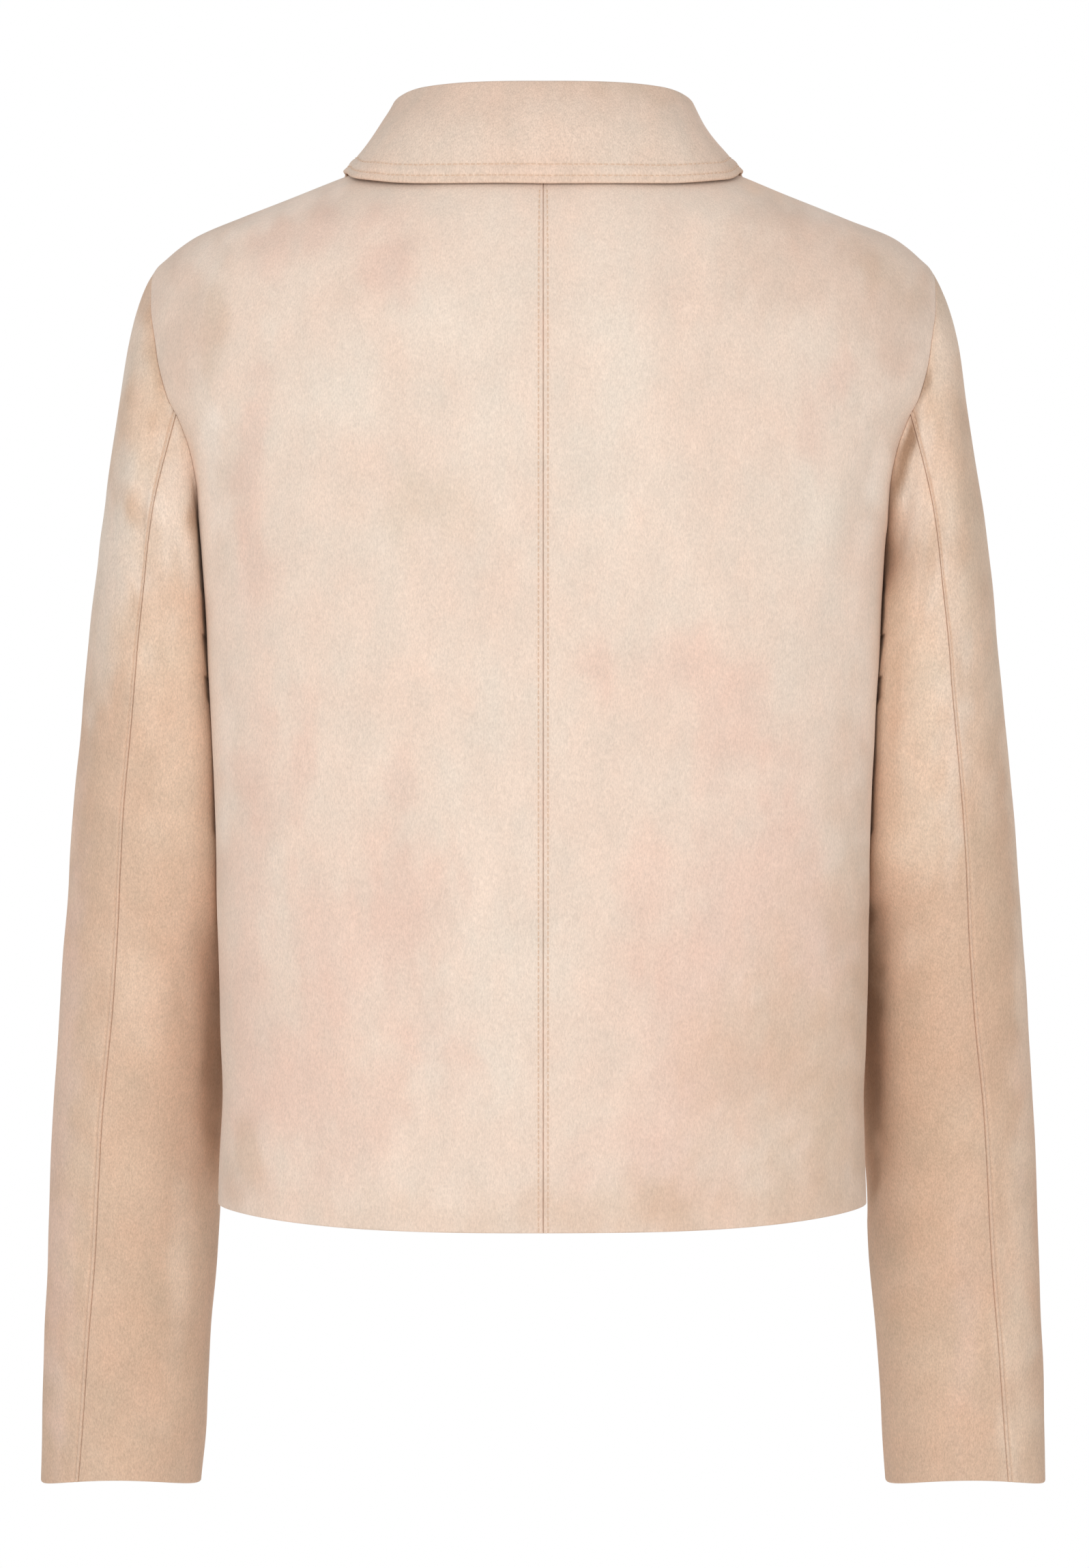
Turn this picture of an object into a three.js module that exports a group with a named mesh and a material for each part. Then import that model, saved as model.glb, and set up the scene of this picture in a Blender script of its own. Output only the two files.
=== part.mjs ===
import * as THREE from 'three';

// A short suede jacket, filled out as when it is worn.
// Millimetres, +Z up, the front towards -Y and the wearer's left side towards +X.
// The origin lies midway between the two side neck points, where the shoulders carry it.

// Cloth
const WALL = 2;
const SEAM_GAP = 0.3;

// Hem
const HEM_Z = -530.7;
const HEM_SIDE_LIFT = 8;
const HEM_LIFT_FADE = 110;
const HEM_LIFT_POWER = 2.6;

// Neckline, an ellipse seen from the front
const NECK_HALF_WIDTH = 75;
const SIDE_NECK_Z = 5.5;
const BACK_NECK_Z = 2;
const FRONT_NECK_DROP = 90.5;

// Armhole, an oval seen from the side
const ARMHOLE_Y = -3;
const ARMHOLE_Z = -129;
const ARMHOLE_BACK_REACH = 53;
const ARMHOLE_FRONT_REACH = 52;
const ARMHOLE_HALF_HEIGHT = 77;

// Sleeves
const CUFF_Z = -669.5;
const CUFF_SIDE_DROP = 5.4;
const CAP_FADE_TOP = 22;
const CAP_FADE_SIDE = 90;
const CAP_FADE_UNDER = 40;
const BACK_SEAM_ANGLE = 90;
const FRONT_SEAM_ANGLE = 240;
const SLEEVE_ROWS = 22;
const SLEEVE_ROW_CROWDING = 1.2;

// Front fastening
const LAP = 14;
const LAP_STEP = 1.3;
const LAP_FLAT = 17;
const LAP_FADE = 46;
const BUTTON_COUNT = 5;
const BUTTON_RADIUS = 10;
const BUTTON_THICKNESS = 3.2;
const BUTTON_DISH_RADIUS = 6.4;
const BUTTON_DISH_DEPTH = 0.8;
const BUTTON_RIM = 0.7;
const TOP_BUTTON_Z = -108;
const BUTTON_PITCH = 91;
const BUTTON_SEAT = 0.7;

// Grids
const PANEL_COLUMNS = 12;
const ARMHOLE_STEP = 15;
const ARMHOLE_ROWS = 180 / ARMHOLE_STEP;
const SIDE_ROWS = 10;
const PANEL_ROWS = SIDE_ROWS + ARMHOLE_ROWS;
const NECK_ROWS = 6;
const COLLAR_END_ANGLE = 86;

// Half width of the body form at each height, widening to the line of the shoulders
const FORM_WIDTHS = [
  { z: 5.5, halfWidth: 75 },
  { z: 0, halfWidth: 87.5 },
  { z: -5.3, halfWidth: 101.8 },
  { z: -17.8, halfWidth: 132.4 },
  { z: -27.6, halfWidth: 156.7 },
  { z: -37.3, halfWidth: 180.3 },
  { z: -47, halfWidth: 192.8 },
  { z: -52, halfWidth: 197.5 },
  { z: -63, halfWidth: 203 },
  { z: -81, halfWidth: 207 },
  { z: -98, halfWidth: 205 },
  { z: -119, halfWidth: 197 },
  { z: -133, halfWidth: 187 },
  { z: -147, halfWidth: 179.5 },
  { z: -167, halfWidth: 174 },
  { z: -207, halfWidth: 170.8 },
  { z: -248, halfWidth: 168.3 },
  { z: -289, halfWidth: 165.7 },
  { z: -351, halfWidth: 163.6 },
  { z: -433, halfWidth: 162 },
  { z: -474, halfWidth: 161 },
  { z: -530, halfWidth: 162 },
];

// Depth of the form: where it is widest, its back and front, and how square each half is
const FORM_DEPTHS = [
  { z: 5.5, wideY: -3, backY: 62, frontY: -25, backPower: 2, frontPower: 2 },
  { z: 0, wideY: -3, backY: 68, frontY: -36, backPower: 2, frontPower: 2 },
  { z: -10, wideY: -3, backY: 80, frontY: -46, backPower: 2, frontPower: 2 },
  { z: -20, wideY: -3, backY: 90, frontY: -55, backPower: 2, frontPower: 2 },
  { z: -40, wideY: -3, backY: 99, frontY: -71, backPower: 2, frontPower: 2 },
  { z: -60, wideY: -2, backY: 104, frontY: -83, backPower: 2.1, frontPower: 2 },
  { z: -81, wideY: 0, backY: 108.5, frontY: -91, backPower: 2.15, frontPower: 2 },
  { z: -98, wideY: 5, backY: 111, frontY: -97, backPower: 2.2, frontPower: 2 },
  { z: -119, wideY: 12, backY: 113.5, frontY: -103, backPower: 2.3, frontPower: 2 },
  { z: -147, wideY: 24, backY: 116, frontY: -109.5, backPower: 2.4, frontPower: 2 },
  { z: -187, wideY: 34, backY: 117.7, frontY: -114.5, backPower: 2.4, frontPower: 2.05 },
  { z: -248, wideY: 38, backY: 118, frontY: -117.5, backPower: 2.4, frontPower: 2.1 },
  { z: -351, wideY: 38, backY: 117, frontY: -117, backPower: 2.4, frontPower: 2.1 },
  { z: -530, wideY: 38, backY: 118, frontY: -118, backPower: 2.4, frontPower: 2.1 },
];

// Sleeve sections: the inner and outer side of the arm, and its back and front
const SLEEVE_SECTIONS = [
  { z: -52, inner: 182, outer: 202.8, back: 46, front: -50 },
  { z: -71.4, inner: 176, outer: 206.5, back: 51, front: -55 },
  { z: -94.3, inner: 171, outer: 211.3, back: 55, front: -59 },
  { z: -136, inner: 168.5, outer: 217.7, back: 60, front: -63 },
  { z: -177.7, inner: 170, outer: 223.7, back: 63.5, front: -66.5 },
  { z: -219.4, inner: 169.5, outer: 228.7, back: 64.5, front: -68.5 },
  { z: -261.2, inner: 165, outer: 233.4, back: 60.5, front: -68.5 },
  { z: -302.9, inner: 161.8, outer: 237.4, back: 54, front: -67.5 },
  { z: -344.7, inner: 160, outer: 241.3, back: 47.5, front: -66.5 },
  { z: -386.7, inner: 159.5, outer: 244.8, back: 40, front: -67 },
  { z: -428.9, inner: 160.5, outer: 248.1, back: 31.5, front: -70 },
  { z: -471.4, inner: 162.8, outer: 251.3, back: 22.5, front: -73.5 },
  { z: -513.9, inner: 165.8, outer: 253.8, back: 13.5, front: -76 },
  { z: -556.7, inner: 168.6, outer: 256.1, back: 5.5, front: -78 },
  { z: -599.5, inner: 172.2, outer: 258.2, back: -1, front: -80.5 },
  { z: -642.4, inner: 175.3, outer: 259.6, back: -6.5, front: -82.5 },
  { z: -669.5, inner: 177.2, outer: 260.4, back: -9.5, front: -83.5 },
];

// Angle round the sleeve of its two seams, by the share of the way down to the cuff
const SLEEVE_SEAMS = [
  { down: 0, back: BACK_SEAM_ANGLE, front: FRONT_SEAM_ANGLE },
  { down: 0.14, back: 92, front: 240 },
  { down: 0.24, back: 85, front: 239 },
  { down: 0.4, back: 76, front: 238 },
  { down: 0.56, back: 73.5, front: 237 },
  { down: 0.68, back: 69.6, front: 236 },
  { down: 0.8, back: 68.5, front: 234 },
  { down: 1, back: 62, front: 232 },
];

// Collar from the centre back (0) over the side neck (1) to the centre front (2):
// the rise of its fold above the neckline, how far the fold stands out from it,
// the place of the fall's edge on the body form, and how far the fall bellies out between them
const COLLAR_FALL = [
  { along: 0, rise: 30.5, out: -1, edgeAngle: 0, edgeZ: -20, belly: 4 },
  { along: 0.28, rise: 30.8, out: -1.5, edgeAngle: 25, edgeZ: -19, belly: 3.5 },
  { along: 0.52, rise: 30.2, out: -2.5, edgeAngle: 46, edgeZ: -14.5, belly: 1.2 },
  { along: 0.76, rise: 28, out: -4, edgeAngle: 68, edgeZ: -7.2, belly: -1.7 },
  { along: 1, rise: 24, out: -3, edgeAngle: 90, edgeZ: -4.7, belly: -2.8 },
  { along: 1.2, rise: 20, out: 0, edgeAngle: 116, edgeZ: -9.6, belly: -2.6 },
  { along: 1.4, rise: 16, out: 2, edgeAngle: 138, edgeZ: -28, belly: 0 },
  { along: 1.6, rise: 12, out: 3, edgeAngle: 152, edgeZ: -58, belly: 2 },
  { along: 1.8, rise: 8, out: 3, edgeAngle: 160, edgeZ: -94, belly: 2.5 },
  { along: 2, rise: 5, out: 2.5, edgeAngle: 165.5, edgeZ: -124, belly: 2.5 },
];
const COLLAR_EDGE_LIFT = 3.1;
const COLLAR_FOLD_RADIUS = 2.4;
const STAND_STEPS = 3;
const FOLD_STEPS = 4;
const FALL_STEPS = 6;

const radians = (degrees) => (degrees * Math.PI) / 180;
const mix = (from, to, share) => from + (to - from) * share;
const add = (a, b, scale = 1) => a.map((value, axis) => value + b[axis] * scale);
const minus = (a, b) => a.map((value, axis) => value - b[axis]);
const dot = (a, b) => a[0] * b[0] + a[1] * b[1] + a[2] * b[2];
const cross = (a, b) => [
  a[1] * b[2] - a[2] * b[1],
  a[2] * b[0] - a[0] * b[2],
  a[0] * b[1] - a[1] * b[0],
];
const unit = (a) => a.map((value) => value / Math.hypot(...a));
const clamp = (value, low, high) => Math.min(Math.max(value, low), high);

function smooth(low, high, value) {
  const share = clamp((value - low) / (high - low), 0, 1);
  return share * share * (3 - 2 * share);
}

// A curve through one column of a table that never overshoots its rows.
// Past either end it runs on straight.
function curve(table, key, column) {
  const rows = [...table].sort((a, b) => a[key] - b[key]);
  const at = rows.map((row) => row[key]);
  const value = rows.map((row) => row[column]);
  const last = rows.length - 1;
  const rise = at.slice(1).map((end, i) => (value[i + 1] - value[i]) / (end - at[i]));
  const slope = value.map((_, i) => {
    if (i === 0) return rise[0];
    if (i === last) return rise[last - 1];
    const product = rise[i - 1] * rise[i];
    return product > 0 ? (2 * product) / (rise[i - 1] + rise[i]) : 0;
  });
  return (where) => {
    if (where <= at[0]) return value[0] + slope[0] * (where - at[0]);
    if (where >= at[last]) return value[last] + slope[last] * (where - at[last]);
    let i = 0;
    while (where > at[i + 1]) i += 1;
    const width = at[i + 1] - at[i];
    const s = (where - at[i]) / width;
    const start = (1 + 2 * s) * (1 - s) ** 2 * value[i] + s * (1 - s) ** 2 * width * slope[i];
    const end = s * s * (3 - 2 * s) * value[i + 1] - s * s * (1 - s) * width * slope[i + 1];
    return start + end;
  };
}

function curves(table, key) {
  const columns = Object.keys(table[0]).filter((name) => name !== key);
  return Object.fromEntries(columns.map((name) => [name, curve(table, key, name)]));
}

const form = { ...curves(FORM_WIDTHS, 'z'), ...curves(FORM_DEPTHS, 'z') };
const arm = curves(SLEEVE_SECTIONS, 'z');
const seams = curves(SLEEVE_SEAMS, 'down');
const fall = curves(COLLAR_FALL, 'along');

// Direction square to a surface, from small steps along its two parameters
function squareTo(surface, u, v, stepU, stepV) {
  const alongU = minus(surface(u + stepU, v), surface(u - stepU, v));
  const alongV = minus(surface(u, v + stepV), surface(u, v - stepV));
  return unit(cross(alongU, alongV));
}

// The body form: angle 0 at the centre back, 90 where it is widest, 180 at the centre front

function formHalf(angle, z) {
  const isBack = Math.cos(radians(angle)) >= 0;
  const power = isBack ? form.backPower(z) : form.frontPower(z);
  const reach = (isBack ? form.backY(z) : form.frontY(z)) - form.wideY(z);
  return { power, reach };
}

function formPoint(angle, z) {
  const { power, reach } = formHalf(angle, z);
  const side = Math.sin(radians(angle));
  const facing = Math.abs(Math.cos(radians(angle)));
  const x = form.halfWidth(z) * Math.sign(side) * Math.abs(side) ** (2 / power);
  const y = form.wideY(z) + reach * facing ** (2 / power);
  const fade = 1 - smooth(HEM_Z, HEM_Z + HEM_LIFT_FADE, z);
  return [x, y, z + HEM_SIDE_LIFT * fade * Math.abs(side) ** HEM_LIFT_POWER];
}

function formNormal(angle, z) {
  return squareTo(formPoint, angle, z, 0.5, -0.5);
}

function angleAtY(y, z) {
  const isBack = y >= form.wideY(z);
  const { power, reach } = formHalf(isBack ? 0 : 180, z);
  const facing = clamp((y - form.wideY(z)) / reach, 0, 1) ** (power / 2);
  const angle = (Math.acos(facing) * 180) / Math.PI;
  return isBack ? angle : 180 - angle;
}

function frontAngleAtX(x, z) {
  const { power } = formHalf(180, z);
  const side = (Math.abs(x) / form.halfWidth(z)) ** (power / 2);
  return 180 - (Math.sign(x) * Math.asin(clamp(side, 0, 1)) * 180) / Math.PI;
}

// Turns a distance along the form's girth into an angle
function girthAngle(angle, z, distance) {
  const step = minus(formPoint(angle + 0.5, z), formPoint(angle - 0.5, z));
  return distance / Math.hypot(...step);
}

// Neckline on the form, from 0 at the centre back and 1 at the side neck to 2 at the centre front
function neckPlace(along) {
  if (along <= 1) {
    const z = mix(BACK_NECK_Z, SIDE_NECK_Z, 1 - Math.cos(radians(90 * along)));
    return { angle: 90 * along, z };
  }
  const turn = radians(90 * (along - 1));
  const z = SIDE_NECK_Z - FRONT_NECK_DROP * Math.sin(turn);
  return { angle: frontAngleAtX(NECK_HALF_WIDTH * Math.cos(turn), z), z };
}

// Armhole on the form, from 0 at the shoulder point and 90 at the back to 180 under the arm
function armholePlace(turn) {
  const side = Math.sin(radians(turn));
  const y = ARMHOLE_Y + side * (side > 0 ? ARMHOLE_BACK_REACH : ARMHOLE_FRONT_REACH);
  const z = ARMHOLE_Z + ARMHOLE_HALF_HEIGHT * Math.cos(radians(turn));
  return { angle: angleAtY(y, z), z };
}

const armholePoint = (turn) => {
  const { angle, z } = armholePlace(turn);
  return formPoint(angle, z);
};
const armholeNormal = (turn) => {
  const { angle, z } = armholePlace(turn);
  return formNormal(angle, z);
};

// The sleeve: angle 0 at its outer side, 90 at the back, 180 at the inner side, 270 at the front

function tubePoint(angle, z) {
  const across = (arm.outer(z) - arm.inner(z)) / 2;
  const deep = (arm.back(z) - arm.front(z)) / 2;
  const x = arm.inner(z) + across * (1 + Math.cos(radians(angle)));
  const y = arm.front(z) + deep * (1 + Math.sin(radians(angle)));
  return [x, y, z];
}

function capFade(angle) {
  const ends = Math.cos(radians(angle)) > 0 ? CAP_FADE_TOP : CAP_FADE_UNDER;
  return mix(ends, CAP_FADE_SIDE, Math.sin(radians(angle)) ** 2);
}

// The sleeve starts on the armhole and eases into its own sections below it
function sleevePoint(angle, down) {
  const start = armholePoint(angle);
  const z = mix(start[2], CUFF_Z - CUFF_SIDE_DROP * Math.cos(radians(angle)) ** 2, down);
  const left = clamp(1 - (start[2] - z) / capFade(angle), 0, 1) ** 2;
  const ease = minus(start, tubePoint(angle, start[2]));
  return [...add(tubePoint(angle, z), ease, left).slice(0, 2), z];
}

function sleeveNormal(angle, down) {
  const at = clamp(down, 0.004, 0.996);
  return squareTo(sleevePoint, angle, at, 1, -0.004);
}

// Where body and sleeve face nearly the same way, both walls end on one mitred face.
// Under the arm they lie face to face, and each keeps its own direction.
function mitred(own, other) {
  const share = clamp((dot(own, other) + 0.1) / 0.4, 0, 1);
  return unit(add(own, other, share));
}

const bodyRimNormal = (turn) => mitred(armholeNormal(turn), sleeveNormal(turn, 0));
const sleeveRimNormal = (turn) => mitred(sleeveNormal(turn, 0), armholeNormal(turn));

// The sleeve's first row stands one gap off the body, away from its panel and its face
function sleeveRimPoint(turn) {
  const alongRim = minus(armholePoint(turn + 1), armholePoint(turn - 1));
  const awayFromPanel = unit(cross(alongRim, armholeNormal(turn)));
  const facing = clamp(dot(armholeNormal(turn), sleeveNormal(turn, 0)), 0, 1);
  const direction = unit(add(armholeNormal(turn), awayFromPanel, 4 * facing));
  return add(armholePoint(turn), direction, SEAM_GAP);
}

// A closed wall: outer points, inner points one thickness in, and the rim between them
function wallGeometry(outer, inner) {
  const rows = outer.length;
  const columns = outer[0].length;
  const place = (layer, row, column) => (layer * rows + row) * columns + column;
  const faces = [];
  const quad = (a, b, c, d) => faces.push([a, b, c], [a, c, d]);
  const crossQuad = (a, b, c, d) => faces.push([a, b, d], [b, c, d]);
  for (let row = 0; row + 1 < rows; row += 1) {
    for (let column = 0; column + 1 < columns; column += 1) {
      const corners = [[row, column], [row, column + 1], [row + 1, column + 1], [row + 1, column]];
      quad(...corners.map((corner) => place(0, ...corner)));
      quad(...corners.map((corner) => place(1, ...corner)).reverse());
    }
  }
  const rim = [];
  for (let column = 0; column < columns; column += 1) rim.push([0, column]);
  for (let row = 1; row < rows; row += 1) rim.push([row, columns - 1]);
  for (let column = columns - 2; column >= 0; column -= 1) rim.push([rows - 1, column]);
  for (let row = rows - 2; row > 0; row -= 1) rim.push([row, 0]);
  rim.forEach((corner, i) => {
    const next = rim[(i + 1) % rim.length];
    const side = next[0] < corner[0] ? crossQuad : quad;
    side(place(1, ...corner), place(1, ...next), place(0, ...next), place(0, ...corner));
  });
  return closedGeometry([...outer.flat(), ...inner.flat()], faces);
}

// Turns the faces outwards, whichever way round they were listed
function closedGeometry(points, faces) {
  let volume = 0;
  for (const [a, b, c] of faces) volume += dot(points[a], cross(points[b], points[c]));
  const index = volume > 0 ? faces.flat() : faces.map((face) => [...face].reverse()).flat();
  const geometry = new THREE.BufferGeometry();
  geometry.setAttribute('position', new THREE.Float32BufferAttribute(points.flat(), 3));
  geometry.setIndex(index);
  return geometry;
}

const inwards = (points, normals) =>
  points.map((line, row) => line.map((point, column) => add(point, normals[row][column], -WALL)));

// Body panels

// Evenly spaced places between two places on the form, at the same height or slanting
function rowOfPlaces(from, to, count) {
  const fine = 96;
  const places = [];
  const lengths = [0];
  for (let i = 0; i <= fine; i += 1) {
    const share = i / fine;
    places.push({ angle: mix(from.angle, to.angle, share), z: mix(from.z, to.z, share) });
  }
  for (let i = 1; i <= fine; i += 1) {
    const here = formPoint(places[i].angle, places[i].z);
    const before = formPoint(places[i - 1].angle, places[i - 1].z);
    lengths.push(lengths[i - 1] + Math.hypot(...minus(here, before)));
  }
  const row = [];
  let i = 0;
  for (let step = 0; step <= count; step += 1) {
    const goal = (lengths[fine] * step) / count;
    while (i < fine - 1 && lengths[i + 1] < goal) i += 1;
    const share = (goal - lengths[i]) / (lengths[i + 1] - lengths[i]);
    row.push({
      angle: mix(places[i].angle, places[i + 1].angle, share),
      z: mix(places[i].z, places[i + 1].z, share),
    });
  }
  return row;
}

const shifted = ({ angle, z }, distance) => ({ angle: angle + girthAngle(angle, z, distance), z });

// Outer border of a panel: the side seam up to the armhole, then round it to the shoulder
function outerPlace(row, isBack) {
  if (row <= SIDE_ROWS) {
    const z = mix(HEM_Z, ARMHOLE_Z - ARMHOLE_HALF_HEIGHT, row / SIDE_ROWS);
    const place = { angle: angleAtY(ARMHOLE_Y, z), z };
    return shifted(place, (isBack ? -SEAM_GAP : SEAM_GAP) / 2);
  }
  const turn = (row - SIDE_ROWS) * ARMHOLE_STEP;
  const place = armholePlace(isBack ? 180 - turn : 180 + turn);
  return row === PANEL_ROWS ? shifted(place, (isBack ? -SEAM_GAP : SEAM_GAP) / 2) : place;
}

// Inner border of a back panel: the centre seam, then half the back neckline
function backInnerPlace(row) {
  const straight = PANEL_ROWS - NECK_ROWS;
  if (row <= straight) {
    const z = mix(HEM_Z, BACK_NECK_Z, row / straight);
    return shifted({ angle: 0, z }, SEAM_GAP / 2);
  }
  const place = neckPlace((row - straight) / NECK_ROWS);
  return row === PANEL_ROWS ? shifted(place, -SEAM_GAP / 2) : place;
}

// Inner border of a front panel: its edge past the centre front, then the front neckline
function frontInnerPlace(row) {
  const lapTurn = 90 + (Math.asin(LAP / NECK_HALF_WIDTH) * 180) / Math.PI;
  const lapTop = neckPlace(1 + lapTurn / 90);
  const straight = PANEL_ROWS - NECK_ROWS - 2;
  if (row < straight) {
    const z = mix(HEM_Z, lapTop.z, row / straight);
    return { angle: frontAngleAtX(-LAP, z), z };
  }
  if (row === straight) return lapTop;
  if (row === straight + 1) return neckPlace(3 - COLLAR_END_ANGLE / 90);
  const along = 1 + ((PANEL_ROWS - row) * COLLAR_END_ANGLE) / (90 * NECK_ROWS);
  const place = neckPlace(along);
  return row === PANEL_ROWS ? shifted(place, SEAM_GAP / 2) : place;
}

// One half of the body, at +X. The front is stepped out or in where the two fronts lap.
function panelGeometry(isBack, lapStep) {
  const points = [];
  const normals = [];
  for (let row = 0; row <= PANEL_ROWS; row += 1) {
    const inner = isBack ? backInnerPlace(row) : frontInnerPlace(row);
    const places = rowOfPlaces(inner, outerPlace(row, isBack), PANEL_COLUMNS);
    const rowNormals = places.map(({ angle, z }) => formNormal(angle, z));
    points.push(places.map(({ angle, z }, column) => {
      const point = formPoint(angle, z);
      const share = isBack ? 0 : 1 - smooth(LAP_FLAT, LAP_FADE, Math.abs(point[0]));
      return add(point, rowNormals[column], lapStep * share);
    }));
    if (row >= SIDE_ROWS) {
      const turn = (row - SIDE_ROWS) * ARMHOLE_STEP;
      rowNormals[PANEL_COLUMNS] = bodyRimNormal(isBack ? 180 - turn : 180 + turn);
    }
    normals.push(rowNormals);
  }
  return wallGeometry(points, inwards(points, normals));
}

// Sleeves

function sleevePieceGeometry(isUnder) {
  const fullTurn = isUnder ? 0 : 360;
  const columns = Math.round((BACK_SEAM_ANGLE + fullTurn - FRONT_SEAM_ANGLE) / ARMHOLE_STEP);
  const count = Math.abs(columns);
  const points = [];
  const normals = [];
  for (let row = 0; row <= SLEEVE_ROWS; row += 1) {
    const down = (row / SLEEVE_ROWS) ** SLEEVE_ROW_CROWDING;
    const from = isUnder ? seams.back(down) : seams.front(down) - 360;
    const to = isUnder ? seams.front(down) : seams.back(down);
    const line = [];
    const lineNormals = [];
    for (let column = 0; column <= count; column += 1) {
      const angle = mix(from, to, column / count);
      const isRim = row === 0;
      const point = isRim ? sleeveRimPoint(angle) : sleevePoint(angle, down);
      const along = unit(minus(sleevePoint(angle + 1, down), sleevePoint(angle - 1, down)));
      const isStart = column === 0;
      const isEnd = column === count;
      const gap = (isStart ? SEAM_GAP / 2 : 0) - (isEnd ? SEAM_GAP / 2 : 0);
      line.push(add(point, along, gap));
      lineNormals.push(isRim ? sleeveRimNormal(angle) : sleeveNormal(angle, down));
    }
    points.push(line);
    normals.push(lineNormals);
  }
  return wallGeometry(points, inwards(points, normals));
}

// Collar

// The folded section at one station, from the foot of the stand over the fold to the fall's edge
function collarPath(along) {
  const { angle, z } = neckPlace(along);
  const foot = formPoint(angle, z);
  const here = neckPlace(along + 0.01);
  const before = neckPlace(along - 0.01);
  const neckline = minus(formPoint(here.angle, here.z), formPoint(before.angle, before.z));
  const offPanel = unit(cross(neckline, formNormal(angle, z)));
  const outwards = unit([foot[0], foot[1] - ARMHOLE_Y, 0]);
  const lean = add([0, 0, fall.rise(along)], outwards, fall.out(along));
  const start = add(add(foot, offPanel, SEAM_GAP), formNormal(angle, z), -WALL / 2);
  const edgePlace = [fall.edgeAngle(along), fall.edgeZ(along)];
  const edge = add(formPoint(...edgePlace), formNormal(...edgePlace), COLLAR_EDGE_LIFT);
  const top = add(start, lean);
  const path = [];
  for (let i = 0; i < STAND_STEPS; i += 1) path.push(add(start, lean, i / STAND_STEPS));
  const turnCentre = add(top, outwards, COLLAR_FOLD_RADIUS);
  for (let i = 0; i <= FOLD_STEPS; i += 1) {
    const turn = radians(mix(180, 40, i / FOLD_STEPS));
    const across = COLLAR_FOLD_RADIUS * Math.cos(turn);
    path.push(add(add(turnCentre, outwards, across), [0, 0, COLLAR_FOLD_RADIUS * Math.sin(turn)]));
  }
  const shoulder = path[path.length - 1];
  const run = minus(edge, shoulder);
  const bulge = unit(add(outwards, [0, 0, 1]));
  for (let i = 1; i <= FALL_STEPS; i += 1) {
    const share = i / FALL_STEPS;
    const belly = fall.belly(along) * Math.sin(Math.PI * share);
    path.push(add(add(shoulder, run, share), bulge, belly));
  }
  return path;
}

const mirrorLine = (line) => line.map(([x, y, z]) => [-x, y, z]);

function footNormal(along) {
  const { angle, z } = neckPlace(along);
  return formNormal(angle, z);
}

function collarGeometry() {
  const stations = [];
  for (let i = -NECK_ROWS; i < 0; i += 1) stations.push(1 - (i * COLLAR_END_ANGLE) / (90 * NECK_ROWS));
  for (let i = NECK_ROWS; i >= 0; i -= 1) stations.push(i / NECK_ROWS);
  const acrossMiddle = (half) => [...half, ...half.slice(0, -1).reverse().map(mirrorLine)];
  const middle = acrossMiddle(stations.map(collarPath));
  const feet = acrossMiddle(stations.map((along) => [footNormal(along)]));
  const rows = middle.length - 1;
  const columns = middle[0].length - 1;
  const normalAt = (row, column) => {
    if (column === 0) return feet[row][0];
    const alongRow = minus(middle[Math.min(row + 1, rows)][column], middle[Math.max(row - 1, 0)][column]);
    const path = middle[row];
    const alongPath = minus(path[Math.min(column + 1, columns)], path[Math.max(column - 1, 0)]);
    return unit(cross(alongRow, alongPath));
  };
  const offset = (distance) =>
    middle.map((path, row) => path.map((point, column) => add(point, normalAt(row, column), distance)));
  return wallGeometry(offset(WALL / 2), offset(-WALL / 2));
}

// Buttons

function buttonGeometry() {
  const profile = [
    [0, 0],
    [BUTTON_RADIUS - BUTTON_RIM, 0],
    [BUTTON_RADIUS, BUTTON_RIM],
    [BUTTON_RADIUS, BUTTON_THICKNESS - BUTTON_RIM],
    [BUTTON_RADIUS - BUTTON_RIM, BUTTON_THICKNESS],
    [BUTTON_DISH_RADIUS + BUTTON_RIM, BUTTON_THICKNESS],
    [BUTTON_DISH_RADIUS, BUTTON_THICKNESS - BUTTON_DISH_DEPTH],
    [0, BUTTON_THICKNESS - BUTTON_DISH_DEPTH],
  ];
  return new THREE.LatheGeometry(profile.map(([radius, height]) => new THREE.Vector2(radius, height)), 20);
}

// Assembly

const suede = () => new THREE.MeshStandardMaterial({ color: 0xe9d6c4, roughness: 0.95, metalness: 0 });
const horn = () => new THREE.MeshStandardMaterial({ color: 0xd6bda4, roughness: 0.45, metalness: 0 });

function mirroredGeometry(geometry) {
  const copy = geometry.clone();
  copy.scale(-1, 1, 1);
  copy.setIndex([...copy.index.array].reverse());
  return copy;
}

const group = new THREE.Group();

function addPiece(name, geometry, material = suede()) {
  const mesh = new THREE.Mesh(geometry, material);
  mesh.name = name;
  group.add(mesh);
  return mesh;
}

const back = panelGeometry(true, 0);
const sleeveTop = sleevePieceGeometry(false);
const sleeveUnder = sleevePieceGeometry(true);

addPiece('back_left', back);
addPiece('back_right', mirroredGeometry(back));
addPiece('front_left', panelGeometry(false, -LAP_STEP));
addPiece('front_right', mirroredGeometry(panelGeometry(false, LAP_STEP)));
addPiece('sleeve_left_top', sleeveTop);
addPiece('sleeve_left_under', sleeveUnder);
addPiece('sleeve_right_top', mirroredGeometry(sleeveTop));
addPiece('sleeve_right_under', mirroredGeometry(sleeveUnder));
addPiece('collar', collarGeometry());

for (let i = 0; i < BUTTON_COUNT; i += 1) {
  const z = TOP_BUTTON_Z - i * BUTTON_PITCH;
  const outwards = formNormal(180, z);
  const seat = add(formPoint(180, z), outwards, LAP_STEP + BUTTON_SEAT);
  const button = addPiece(`button_${i + 1}`, buttonGeometry(), horn());
  button.position.set(...seat);
  button.quaternion.setFromUnitVectors(new THREE.Vector3(0, 1, 0), new THREE.Vector3(...outwards));
}

export default group;
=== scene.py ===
import math

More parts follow.
